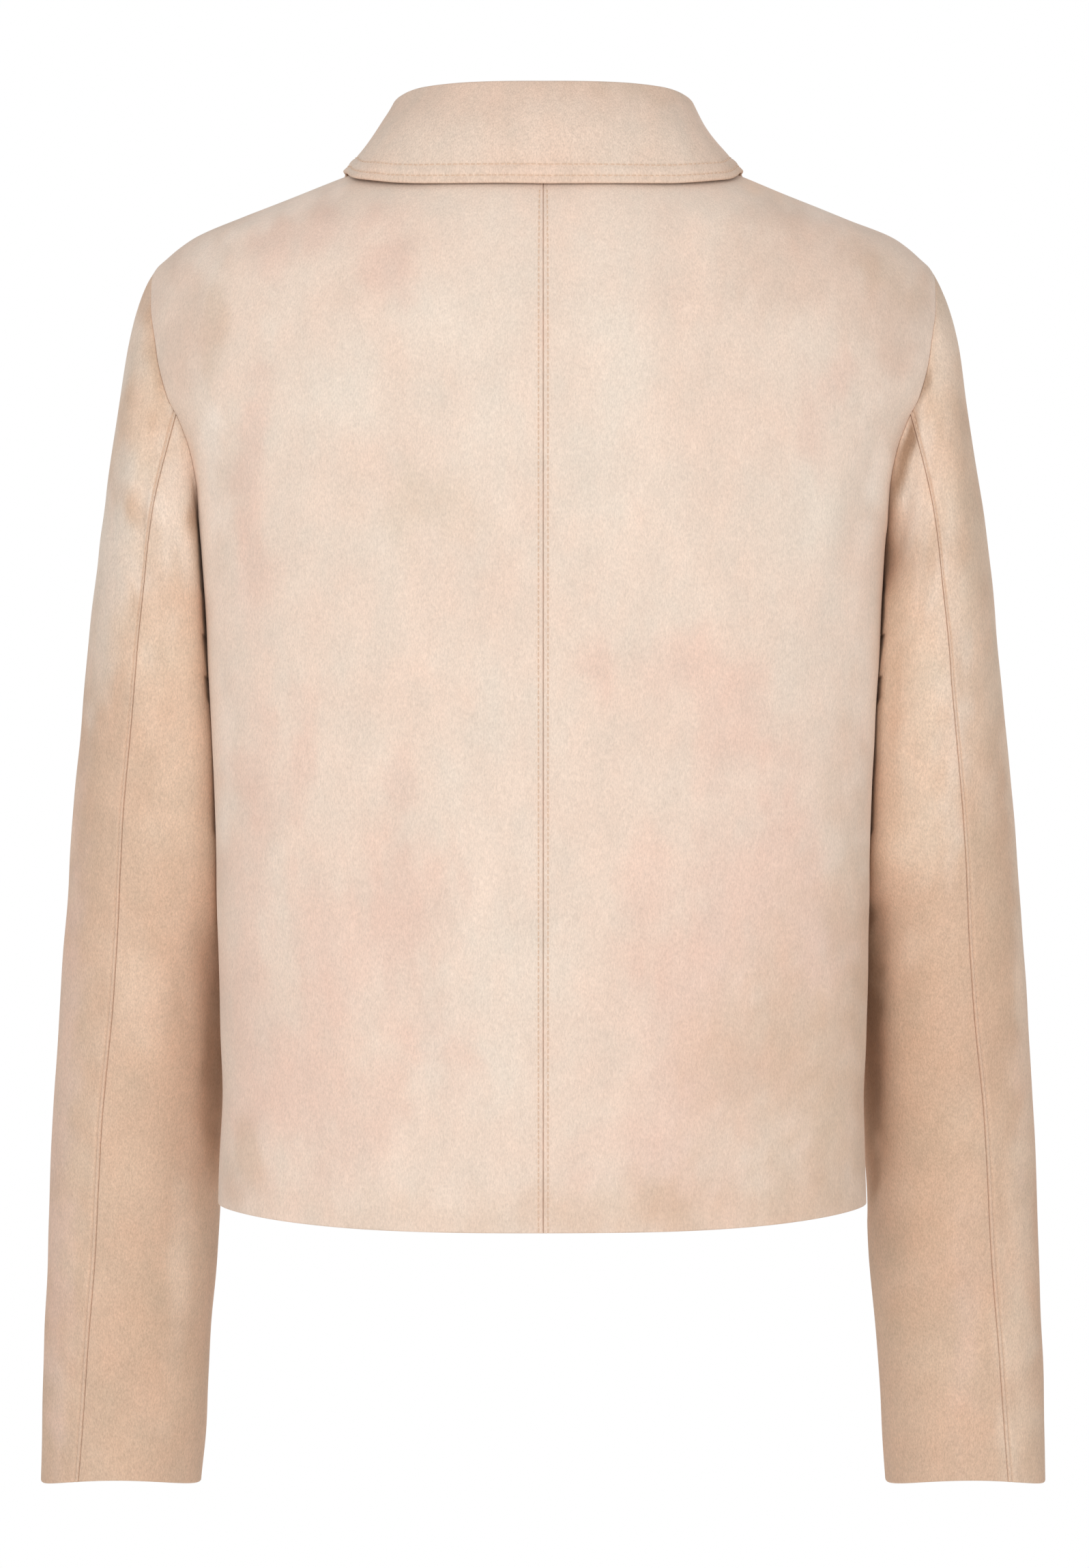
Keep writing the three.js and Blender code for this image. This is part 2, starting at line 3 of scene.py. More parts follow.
import bpy
import numpy as np
from mathutils import Matrix, Vector


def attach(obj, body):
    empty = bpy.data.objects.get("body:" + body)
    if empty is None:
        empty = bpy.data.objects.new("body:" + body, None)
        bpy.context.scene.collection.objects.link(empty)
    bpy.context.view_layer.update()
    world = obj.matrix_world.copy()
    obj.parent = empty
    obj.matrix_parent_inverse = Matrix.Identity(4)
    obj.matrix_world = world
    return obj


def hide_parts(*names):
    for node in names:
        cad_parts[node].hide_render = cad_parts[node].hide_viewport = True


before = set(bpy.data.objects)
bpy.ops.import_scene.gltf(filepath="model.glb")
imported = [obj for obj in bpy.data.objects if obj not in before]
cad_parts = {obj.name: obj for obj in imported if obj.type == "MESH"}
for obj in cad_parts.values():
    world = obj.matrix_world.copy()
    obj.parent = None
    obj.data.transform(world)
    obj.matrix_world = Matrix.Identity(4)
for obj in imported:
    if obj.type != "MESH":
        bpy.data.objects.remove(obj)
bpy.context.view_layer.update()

# The jacket's own sizes are in millimetres, as in the frame's model, and become metres here.
MM = 0.001
BODY = "root"

# Cloth
WALL = 2.0
SEAM_ROUNDING = 0.75
EDGE_ROUNDING = 1.1

# Hem
HEM_Z = -530.7
HEM_SIDE_LIFT = 8
HEM_LIFT_FADE = 110
HEM_LIFT_POWER = 2.6

# Neckline, an ellipse seen from the front
NECK_HALF_WIDTH = 75
SIDE_NECK_Z = 5.5
BACK_NECK_Z = 2
FRONT_NECK_DROP = 90.5

# Armhole, an oval seen from the side
ARMHOLE_Y = -3
ARMHOLE_Z = -129
ARMHOLE_BACK_REACH = 53
ARMHOLE_FRONT_REACH = 52
ARMHOLE_HALF_HEIGHT = 77

# Sleeves
CUFF_Z = -669.5
CUFF_SIDE_DROP = 5.4
CAP_FADE_TOP = 22
CAP_FADE_SIDE = 90
CAP_FADE_UNDER = 40

# Front fastening
LAP = 14
LAP_STEP = 1.3
LAP_FLAT = 17
LAP_FADE = 46
BUTTON_COUNT = 5
TOP_BUTTON_Z = -108
BUTTON_PITCH = 91
BUTTON_SEAT = 0.7
BUTTONHOLE_REACH = (13, 36)
BUTTONHOLE_LIP = 1.5

# Rows of the panels' borders, counted as in the frame's model
ARMHOLE_STEP = 15
ARMHOLE_ROWS = 180 / ARMHOLE_STEP
SIDE_ROWS = 10
PANEL_ROWS = SIDE_ROWS + ARMHOLE_ROWS
NECK_ROWS = 6
COLLAR_END_ANGLE = 86

# Heights between which each sleeve lies against the body, by its side
TUCKS = {1: (-150, -410), -1: (-195, -395)}
TUCK_CLEARANCE = 0.6
TUCK_DEPTH = 16

# Stitching
STITCH_PITCH = 3.0
STITCH_LENGTH = 2.2
THREAD = 0.5
SEAM_STITCH = 2.3
EDGE_STITCHES = (3.8, 9.7)

# Half width of the body form at each height
FORM_WIDTHS = {
    "z": (5.5, 0, -5.3, -17.8, -27.6, -37.3, -47, -52, -63, -81, -98, -119, -133, -147, -167,
          -207, -248, -289, -351, -433, -474, -530),
    "half_width": (75, 87.5, 101.8, 132.4, 156.7, 180.3, 192.8, 197.5, 203, 207, 205, 197, 187, 179.5,
                   174, 170.8, 168.3, 165.7, 163.6, 162, 161, 162),
}

# Depth of the form: where it is widest, its back and front, and how square each half is
FORM_DEPTHS = {
    "z": (5.5, 0, -10, -20, -40, -60, -81, -98, -119, -147, -187, -248, -351, -530),
    "wide_y": (-3, -3, -3, -3, -3, -2, 0, 5, 12, 24, 34, 38, 38, 38),
    "back_y": (62, 68, 80, 90, 99, 104, 108.5, 111, 113.5, 116, 117.7, 118, 117, 118),
    "front_y": (-25, -36, -46, -55, -71, -83, -91, -97, -103, -109.5, -114.5, -117.5, -117, -118),
    "back_power": (2, 2, 2, 2, 2, 2.1, 2.15, 2.2, 2.3, 2.4, 2.4, 2.4, 2.4, 2.4),
    "front_power": (2, 2, 2, 2, 2, 2, 2, 2, 2, 2, 2.05, 2.1, 2.1, 2.1),
}

# Sleeve sections: the inner and outer side of the arm, and its back and front
SLEEVE_SECTIONS = {
    "z": (-52, -71.4, -94.3, -136, -177.7, -219.4, -261.2, -302.9, -344.7, -386.7, -428.9, -471.4,
          -513.9, -556.7, -599.5, -642.4, -669.5),
    "inner": (182, 176, 171, 168.5, 170, 169.5, 165, 161.8, 160, 159.5, 160.5, 162.8, 165.8, 168.6,
              172.2, 175.3, 177.2),
    "outer": (202.8, 206.5, 211.3, 217.7, 223.7, 228.7, 233.4, 237.4, 241.3, 244.8, 248.1, 251.3,
              253.8, 256.1, 258.2, 259.6, 260.4),
    "back": (46, 51, 55, 60, 63.5, 64.5, 60.5, 54, 47.5, 40, 31.5, 22.5, 13.5, 5.5, -1, -6.5, -9.5),
    "front": (-50, -55, -59, -63, -66.5, -68.5, -68.5, -67.5, -66.5, -67, -70, -73.5, -76, -78,
              -80.5, -82.5, -83.5),
}

# Angle round the sleeve of its two seams, by the share of the way down to the cuff
SLEEVE_SEAMS = {
    "down": (0, 0.14, 0.24, 0.4, 0.56, 0.68, 0.8, 1),
    "back": (90, 92, 85, 76, 73.5, 69.6, 68.5, 62),
    "front": (240, 240, 239, 238, 237, 236, 234, 232),
}

# Collar from the centre back (0) over the side neck (1) to the centre front (2)
COLLAR_FALL = {
    "along": (0, 0.28, 0.52, 0.76, 1, 1.2, 1.4, 1.6, 1.8, 2),
    "rise": (30.5, 30.8, 30.2, 28, 24, 20, 16, 12, 8, 5),
    "out": (-1, -1.5, -2.5, -4, -3, 0, 2, 3, 3, 2.5),
    "edge_angle": (0, 25, 46, 68, 90, 116, 138, 152, 160, 165.5),
    "edge_z": (-20, -19, -14.5, -7.2, -4.7, -9.6, -28, -58, -94, -124),
    "belly": (4, 3.5, 1.2, -1.7, -2.8, -2.6, 0, 2, 2.5, 2.5),
}
COLLAR_EDGE_LIFT = 2.1
COLLAR_FOLD_RADIUS = 2.4


# Small helpers

def smooth(low, high, value):
    share = np.clip((np.asarray(value, float) - low) / (high - low), 0, 1)
    return share * share * (3 - 2 * share)


def mix(start, end, share):
    return start + (end - start) * share


def unit(vectors):
    return vectors / np.linalg.norm(vectors, axis=-1, keepdims=True)


def dot(a, b):
    return (a * b).sum(-1, keepdims=True)


def points(x, y, z):
    return np.stack(np.broadcast_arrays(x, y, z), -1).astype(float)


def curve(table, key, column):
    """A curve through one column of a table that never overshoots its rows."""
    order = np.argsort(table[key])
    at = np.array(table[key], float)[order]
    value = np.array(table[column], float)[order]
    rise = np.diff(value) / np.diff(at)
    product = rise[:-1] * rise[1:]
    total = rise[:-1] + rise[1:]
    middle = np.where(product > 0, 2 * product / np.where(product > 0, total, 1), 0)
    slope = np.concatenate(([rise[0]], middle, [rise[-1]]))

    def read(where):
        where = np.asarray(where, float)
        i = np.clip(np.searchsorted(at, where, side="right") - 1, 0, len(at) - 2)
        width = at[i + 1] - at[i]
        s = np.clip((where - at[i]) / width, 0, 1)
        start = (1 + 2 * s) * (1 - s) ** 2 * value[i] + s * (1 - s) ** 2 * width * slope[i]
        end = s * s * (3 - 2 * s) * value[i + 1] - s * s * (1 - s) * width * slope[i + 1]
        past = slope[0] * np.minimum(where - at[0], 0) + slope[-1] * np.maximum(where - at[-1], 0)
        return start + end + past

    return read


def curves(table, key):
    return {name: curve(table, key, name) for name in table if name != key}


form = {**curves(FORM_WIDTHS, "z"), **curves(FORM_DEPTHS, "z")}
arm = curves(SLEEVE_SECTIONS, "z")
seams = curves(SLEEVE_SEAMS, "down")
fall = curves(COLLAR_FALL, "along")


def square_to(surface, u, v, step_u, step_v):
    along_u = surface(u + step_u, v) - surface(u - step_u, v)
    along_v = surface(u, v + step_v) - surface(u, v - step_v)
    return unit(np.cross(along_u, along_v))


# The body form: angle 0 at the centre back, 90 where it is widest, 180 at the centre front

def form_half(is_back, z):
    power = np.where(is_back, form["back_power"](z), form["front_power"](z))
    reach = np.where(is_back, form["back_y"](z), form["front_y"](z)) - form["wide_y"](z)
    return power, reach


def form_point(angle, z):
    turn = np.radians(angle)
    power, reach = form_half(np.cos(turn) >= 0, z)
    side = np.sin(turn)
    x = form["half_width"](z) * np.sign(side) * np.abs(side) ** (2 / power)
    y = form["wide_y"](z) + reach * np.abs(np.cos(turn)) ** (2 / power)
    fade = 1 - smooth(HEM_Z, HEM_Z + HEM_LIFT_FADE, z)
    return points(x, y, z + HEM_SIDE_LIFT * fade * np.abs(side) ** HEM_LIFT_POWER)


def form_normal(angle, z):
    return square_to(form_point, angle, z, 0.5, -0.5)


def angle_at_y(y, z):
    is_back = y >= form["wide_y"](z)
    power, reach = form_half(is_back, z)
    facing = np.clip((y - form["wide_y"](z)) / reach, 0, 1) ** (power / 2)
    angle = np.degrees(np.arccos(facing))
    return np.where(is_back, angle, 180 - angle)


def front_angle_at_x(x, z):
    power, _ = form_half(False, z)
    side = np.clip(np.abs(x) / form["half_width"](z), 0, 1) ** (power / 2)
    return 180 - np.sign(x) * np.degrees(np.arcsin(side))


def neck_place(along):
    """Angle and height of the neckline, 0 at the centre back, 1 at the side, 2 at the front."""
    along = np.asarray(along, float)
    back_z = mix(BACK_NECK_Z, SIDE_NECK_Z, 1 - np.cos(np.radians(90 * along)))
    turn = np.radians(90 * (along - 1))
    front_z = SIDE_NECK_Z - FRONT_NECK_DROP * np.sin(turn)
    front_angle = front_angle_at_x(NECK_HALF_WIDTH * np.cos(turn), front_z)
    is_back = along <= 1
    return np.where(is_back, 90 * along, front_angle), np.where(is_back, back_z, front_z)


def armhole_place(turn):
    side = np.sin(np.radians(turn))
    y = ARMHOLE_Y + side * np.where(side > 0, ARMHOLE_BACK_REACH, ARMHOLE_FRONT_REACH)
    z = ARMHOLE_Z + ARMHOLE_HALF_HEIGHT * np.cos(np.radians(turn))
    return angle_at_y(y, z), z


def armhole_point(turn):
    return form_point(*armhole_place(turn))


def armhole_normal(turn):
    return form_normal(*armhole_place(turn))


# The sleeve: angle 0 at its outer side, 90 at the back, 180 at the inner side, 270 at the front

def tube_point(angle, z):
    across = (arm["outer"](z) - arm["inner"](z)) / 2
    deep = (arm["back"](z) - arm["front"](z)) / 2
    x = arm["inner"](z) + across * (1 + np.cos(np.radians(angle)))
    y = arm["front"](z) + deep * (1 + np.sin(np.radians(angle)))
    return points(x, y, z)


def sleeve_point(angle, down):
    angle, down = np.broadcast_arrays(np.asarray(angle, float), np.asarray(down, float))
    start = armhole_point(angle)
    z = mix(start[..., 2], CUFF_Z - CUFF_SIDE_DROP * np.cos(np.radians(angle)) ** 2, down)
    ends = np.where(np.cos(np.radians(angle)) > 0, CAP_FADE_TOP, CAP_FADE_UNDER)
    fade = mix(ends, CAP_FADE_SIDE, np.sin(np.radians(angle)) ** 2)
    left = np.clip(1 - (start[..., 2] - z) / fade, 0, 1) ** 2
    place = tube_point(angle, z)
    ease = start - tube_point(angle, start[..., 2])
    ease[..., 2] = 0
    return place + ease * left[..., None]


def sleeve_normal(angle, down):
    return square_to(sleeve_point, angle, np.clip(down, 0.004, 0.996), 1, -0.004)


# Slow unevenness, as sums of a few slanting waves

def waves(at, wavelength, seed):
    """An uneven field between about -1 and 1 with hills about one wavelength apart."""
    random = np.random.default_rng(seed)
    at = np.asarray(at, float)
    total = np.zeros(at.shape[:-1])
    count = 9
    for _ in range(count):
        heading = unit(random.normal(size=at.shape[-1]))
        length = wavelength * random.uniform(0.7, 1.5)
        total += np.sin(at @ heading * 2 * np.pi / length + random.uniform(0, 2 * np.pi))
    return total / math.sqrt(count)


def uneven(along, wavelength, seed):
    return waves(np.asarray(along, float)[..., None], wavelength, seed)


def bell(distance, width):
    return np.exp(-(distance / width) ** 2)


def crease_depth(across, down, rows):
    """Depth of listed creases, each a bent line between two ends, on a chart of the piece."""
    total = np.zeros(np.broadcast(across, down).shape)
    for x, z, end_x, end_z, bow, width, depth in rows:
        run = np.array((end_x - x, end_z - z), float)
        length = np.linalg.norm(run)
        run = run / length
        along = (across - x) * run[0] + (down - z) * run[1]
        beside = (across - x) * -run[1] + (down - z) * run[0]
        share = along / length
        beside = beside - bow * 4 * share * (1 - share)
        past = np.maximum(np.maximum(-along, along - length), 0)
        fade = bell(past, width) * (0.55 + 0.45 * np.sin(np.pi * np.clip(share, 0, 1)))
        total += depth * fade * (bell(beside, width) - 0.45 * bell(beside - 1.7 * width, width))
    return total


def patch_share(across, down, x, z, wide, tall, tilt):
    """How far each point is in a tilted oval with an uneven soft edge."""
    turn = math.radians(tilt)
    u = (across - x) * math.cos(turn) + (down - z) * math.sin(turn)
    v = (down - z) * math.cos(turn) - (across - x) * math.sin(turn)
    distance = np.sqrt((u / wide) ** 2 + (v / tall) ** 2)
    chart = np.stack((across, down * 0.6), -1)
    seed = int(abs(x * 7 + z)) + 3
    edge = 0.3 * waves(chart, 0.9 * min(wide, tall) + 10, seed) + 0.12 * waves(chart, 10, seed + 1)
    return 1 - smooth(0.1, 1.45, distance + edge)


# Grids of points become closed walls with rounded borders

def edge_shape(distance, rounding):
    """How much of the wall's thickness is there, at this distance from its border."""
    return np.sqrt(np.clip(1 - (1 - np.clip(distance / rounding, 0, 1)) ** 2, 0, 1))


def border_distances(grid):
    """Distance of each point from the grid's first and last column, and first and last row."""
    across = np.linalg.norm(np.diff(grid, axis=1), axis=-1)
    along = np.linalg.norm(np.diff(grid, axis=0), axis=-1)
    left = np.pad(np.cumsum(across, 1), ((0, 0), (1, 0)))
    bottom = np.pad(np.cumsum(along, 0), ((1, 0), (0, 0)))
    return left, left[:, -1:] - left, bottom, bottom[-1:] - bottom


def spaced(length, start, end, count):
    """Places along a line of this length, crowded as listed at both ends and even between."""
    length = np.atleast_1d(length)[:, None]
    start = np.broadcast_to(np.array(start, float), (len(length), len(start)))
    end = length - np.array(end, float)[::-1]
    share = np.linspace(0, 1, count + 2)[1:-1]
    middle = start[:, -1:] + (end[:, :1] - start[:, -1:]) * share
    return np.concatenate((start, middle, end), 1)


def walls(middle_out, normals, edge, sink=None):
    """Outer and inner points of a wall. Along its border both come to one line, at half depth."""
    half = WALL / 2
    sink = normals * half if sink is None else sink
    gone = (1 - edge)[..., None]
    outer = middle_out - sink * gone
    inner = middle_out - normals * half * (1 + edge)[..., None] + (normals * half - sink) * gone
    return outer, inner


def wall_object(name, outer, inner, tint):
    """A closed mesh from the outer and inner points of a wall, which meet along its border."""
    rows, columns = outer.shape[:2]
    free = np.zeros((rows, columns), bool)
    free[1:-1, 1:-1] = True
    outer_index = np.arange(rows * columns).reshape(rows, columns)
    inner_index = outer_index.copy()
    inner_index[free] = rows * columns + np.arange(free.sum())
    vertices = np.concatenate((outer.reshape(-1, 3), inner[free])) * MM

    def quads(index, flip):
        a, b = index[:-1, :-1], index[:-1, 1:]
        c, d = index[1:, 1:], index[1:, :-1]
        order = (a, d, c, b) if flip else (a, b, c, d)
        return np.stack(order, -1).reshape(-1, 4)

    row, column = rows // 2, columns // 2
    span_u = outer[row, column + 1] - outer[row, column]
    span_v = outer[row + 1, column] - outer[row, column]
    faces_out = np.dot(np.cross(span_u, span_v), outer[row, column] - inner[row, column]) > 0
    faces = np.concatenate((quads(outer_index, not faces_out), quads(inner_index, faces_out)))
    shade = np.concatenate((tint.reshape(-1, 3), tint[free] * REVERSE_TINT))
    return mesh_object(name, vertices, faces.tolist(), shade)


def mesh_object(name, vertices, faces, shade=None):
    mesh = bpy.data.meshes.new(name)
    mesh.from_pydata(vertices.tolist(), [], faces)
    mesh.polygons.foreach_set("use_smooth", np.ones(len(faces), bool))
    if shade is not None:
        # The vertex colour holds the suede's tone together with the painted shade and painted light of the
        # patch tables
        attribute = mesh.attributes.new("tone_and_painted_light", "FLOAT_COLOR", "POINT")
        attribute.data.foreach_set("color", np.pad(shade, ((0, 0), (0, 1)), constant_values=1).ravel())
    mesh.update()
    piece = bpy.data.objects.new(name, mesh)
    bpy.context.collection.objects.link(piece)
    return piece


# Crowding of the grid near a plain border, and near a seam or an edge with stitching
PLAIN = (0, 0.1, 0.25, 0.45, 0.75, 1.1, 1.6, 2.3, 3.3, 4.8, 7)
STITCHED = (0, 0.1, 0.25, 0.45, 0.75, 1.1, 1.5, 1.8, 2.05, 2.3, 2.55, 2.9, 3.4, 4.2, 5.4, 7.2)
EDGE_STITCHED = (0, 0.12, 0.3, 0.55, 0.85, 1.2, 1.8, 2.5, 3.1, 3.5, 3.8, 4.1, 4.5, 5.3, 6.5, 7.7,
                 8.7, 9.3, 9.7, 10.1, 10.7, 11.8, 13.5)

# Colours of the suede as its fibres lie, in linear light, and how much darker the reverse is. Some of them
# are painted shade and painted light, as noted above them
REVERSE_TINT = np.array((0.93, 0.9, 0.87))
CREAM = np.array((0.81, 0.70, 0.605))
PINK = np.array((0.785, 0.575, 0.48))
TAN = np.array((0.63, 0.44, 0.315))
LIGHT_TAN = np.array((0.80, 0.63, 0.50))
SMUDGE = np.array((0.73, 0.60, 0.49))
# Painted light: lightens the body's sides and shoulder ends where they turn from the light, and the shade
# under the collar's edge
PAINTED_LIGHT = np.array((0.90, 0.775, 0.68))
# Warm painted light under the collar's edge
WARM_PAINTED_LIGHT = np.array((0.86, 0.645, 0.51))
# Painted shade, dark brown, in creases and in the gaps between sleeve and body
PAINTED_SHADE = np.array((0.36, 0.225, 0.145))
PRESSED = np.array((0.77, 0.57, 0.44))
# Rosy tan: the right yoke's darker tone, and painted shade at the shoulder ends and under the collar's edge
ROSY_TAN_PAINTED_SHADE = np.array((0.70, 0.52, 0.42))
BODY_TINT = np.array((0.80, 0.655, 0.555))
# Darker and more saturated than the body: partly the lie of the fibres on the sleeves, partly painted shade,
# as the sleeves get less light than the back
SLEEVE_TINT = np.array((0.68, 0.485, 0.36))
COLLAR_TINT = np.array((0.785, 0.615, 0.505))


# Mixes the listed patches into a base colour: the suede's own tone, and the painted shade, painted light and
# painted sheen that some rows give
def suede_tone_and_painted_light(across, down, base, patches, seed):
    tint = np.broadcast_to(base, across.shape + (3,)).copy()
    chart = np.stack((across, down), -1)
    for row in patches:
        share = (patch_share(across, down, *row[:5]) * row[6])[..., None]
        tint = mix(tint, row[5], share)
    cloud = waves(chart, 55, seed) * 0.012 + waves(chart, 24, seed + 1) * 0.008
    return tint * (1 + cloud)[..., None]


def between(start, end, share):
    return [mix(a[:, None], b[:, None], share) for a, b in zip(start, end)]


def even_places(surface, start, end, crowding, count, steps):
    """Coordinates in rows between two borders of a surface, crowded near both and even between."""
    share = np.linspace(0, 1, steps)
    lengths = border_distances(surface(*between(start, end, share)))[0]
    goals = spaced(lengths[:, -1], *crowding, count)
    shares = np.stack([np.interp(goal, own, share) for goal, own in zip(goals, lengths)])
    return between(start, end, shares)


# Body panels

def back_inner(row):
    straight = PANEL_ROWS - NECK_ROWS
    angle, z = neck_place(np.clip((row - straight) / NECK_ROWS, 0, 1))
    on_seam = row <= straight
    return np.where(on_seam, 0, angle), np.where(on_seam, mix(HEM_Z, BACK_NECK_Z, row / straight), z)


def front_inner(row):
    straight = PANEL_ROWS - NECK_ROWS - 2
    lap_top = 2 + math.degrees(math.asin(LAP / NECK_HALF_WIDTH)) / 90
    collar_end = COLLAR_END_ANGLE / 90
    along = np.interp(row, (straight, straight + 1, straight + 2, PANEL_ROWS),
                      (lap_top, 3 - collar_end, 1 + collar_end, 1))
    angle, z = neck_place(along)
    edge_z = mix(HEM_Z, neck_place(lap_top)[1], row / straight)
    on_edge = row <= straight
    return np.where(on_edge, front_angle_at_x(-LAP, edge_z), angle), np.where(on_edge, edge_z, z)


def side_place(row):
    z = mix(HEM_Z, ARMHOLE_Z - ARMHOLE_HALF_HEIGHT, np.clip(row / SIDE_ROWS, 0, 1))
    return angle_at_y(ARMHOLE_Y, z), z


def outer_place(row, is_back):
    turn = (row - SIDE_ROWS) * ARMHOLE_STEP
    hole_angle, hole_z = armhole_place(180 - turn if is_back else 180 + turn)
    side_angle, side_z = side_place(row)
    below = row <= SIDE_ROWS
    return np.where(below, side_angle, hole_angle), np.where(below, side_z, hole_z)


def seam_sink(turn):
    """Where body and sleeve meet: from the armhole's curve to the line that both walls share."""
    both = armhole_normal(turn) + sleeve_normal(turn, 0)
    return both * (WALL / 2) / np.maximum(1, np.linalg.norm(both, axis=-1, keepdims=True))


def panel(is_back, side, lap_step, creases, patches, seed):
    """Points of one half of the body, where side is 1 on the wearer's left and -1 on the right."""
    hem = np.array(PLAIN) / 33
    shoulder = PANEL_ROWS - np.array(PLAIN)[::-1] / 20
    row = np.concatenate((hem, np.linspace(hem[-1], shoulder[0], 205)[1:-1], shoulder))
    inner_place = (back_inner if is_back else front_inner)(row)
    crowding = (STITCHED if is_back else EDGE_STITCHED, PLAIN)
    angle, z = even_places(form_point, inner_place, outer_place(row, is_back), crowding, 68, 241)
    base = form_point(angle, z)
    normals = form_normal(angle, z)
    lap = 0 if is_back else 1 - smooth(LAP_FLAT, LAP_FADE, np.abs(base[..., 0]))
    left, right, bottom, top = border_distances(base)
    mirror = np.array((side, 1, 1))
    place = base * mirror

    near_armhole = smooth(0, 26, np.where(row[:, None] >= SIDE_ROWS, right, 99))
    near_armhole = near_armhole * smooth(0, 22, left + 99 * (row[:, None] < PANEL_ROWS - NECK_ROWS))
    rise = 0.4 * waves(place, 110, 11) + 0.14 * waves(place, 42, 12)
    rise = rise - crease_depth(place[..., 0], place[..., 2], creases)
    rise = rise * near_armhole
    rise = rise + 0.16 * uneven(base[..., 2], 17, seed) * bell(right - 6, 5) * smooth(1.5, 5, right)
    hem_wave = uneven(base[..., 0] + base[..., 1], 26, seed + 1)
    rise = rise + 0.2 * hem_wave * bell(bottom, 12) * smooth(0, 1, bottom)
    on_seam = row[:, None] < PANEL_ROWS - NECK_ROWS
    if is_back:
        ridge = 0.2 * bell(left - 1.15, 0.8) - 0.14 * bell(left - SEAM_STITCH, 0.55)
        ripple = 0.16 * uneven(base[..., 2], 13, seed + 2) * bell(left - 7, 5) * smooth(2.6, 6, left)
        rise = rise + (ridge + ripple) * on_seam
        pressed = 0.14 * bell(left - 1, 1.7) * on_seam
    else:
        rows = sum(bell(left - distance, 0.7) for distance in EDGE_STITCHES)
        on_edge = row[:, None] < PANEL_ROWS - NECK_ROWS - 2
        rise = rise - 0.3 * rows * on_edge
        pressed = (0.4 * rows + 0.3 * bell(left, 2.5)) * on_edge
    middle = base + normals * (lap_step * lap + rise)[..., None]

    turn = (row - SIDE_ROWS) * ARMHOLE_STEP
    sink = normals * (WALL / 2)
    at_armhole = (row >= SIDE_ROWS)[:, None] & (right < 2) & (right <= top)
    shared = seam_sink(180 - turn if is_back else 180 + turn)[:, None]
    sink = np.where(at_armhole[..., None], shared, sink)
    distance = np.minimum(np.minimum(left, right), np.minimum(bottom, top))
    rounding = np.where(distance == bottom, EDGE_ROUNDING, SEAM_ROUNDING)
    outer, inner = walls(middle, normals, edge_shape(distance, rounding), sink)
    # Suede tone with the painted shade and painted light of the patches
    tint = suede_tone_and_painted_light(place[..., 0], place[..., 2], BODY_TINT, patches, seed + 5)
    tint = mix(tint, PRESSED, pressed[..., None])
    return {"outer": outer * mirror, "inner": inner * mirror, "normals": normals * mirror, "tint": tint,
            "row": row, "left": left, "right": right}


# Sleeves

def tucked(base, z_top, z_low):
    """The back of the arm lies against the side of the body between two heights."""
    x, y, z = base[..., 0], base[..., 1], base[..., 2]
    centre = (arm["outer"](z) + arm["inner"](z)) / 2
    back = arm["back"](z)
    reach = centre - form["half_width"](z) - TUCK_CLEARANCE
    share = np.clip(np.clip(centre - x, 0, None) / reach, 0, 1)
    goal = back - TUCK_DEPTH + TUCK_DEPTH * np.sqrt(1 - share ** 2)
    on = (x < centre) * (share < 1) * (y > back - 3 * TUCK_DEPTH)
    amount = smooth(z_low, z_low + 50, z) * (1 - smooth(z_top - 30, z_top, z))
    return points(x, mix(y, np.maximum(y, goal), amount * on), z)


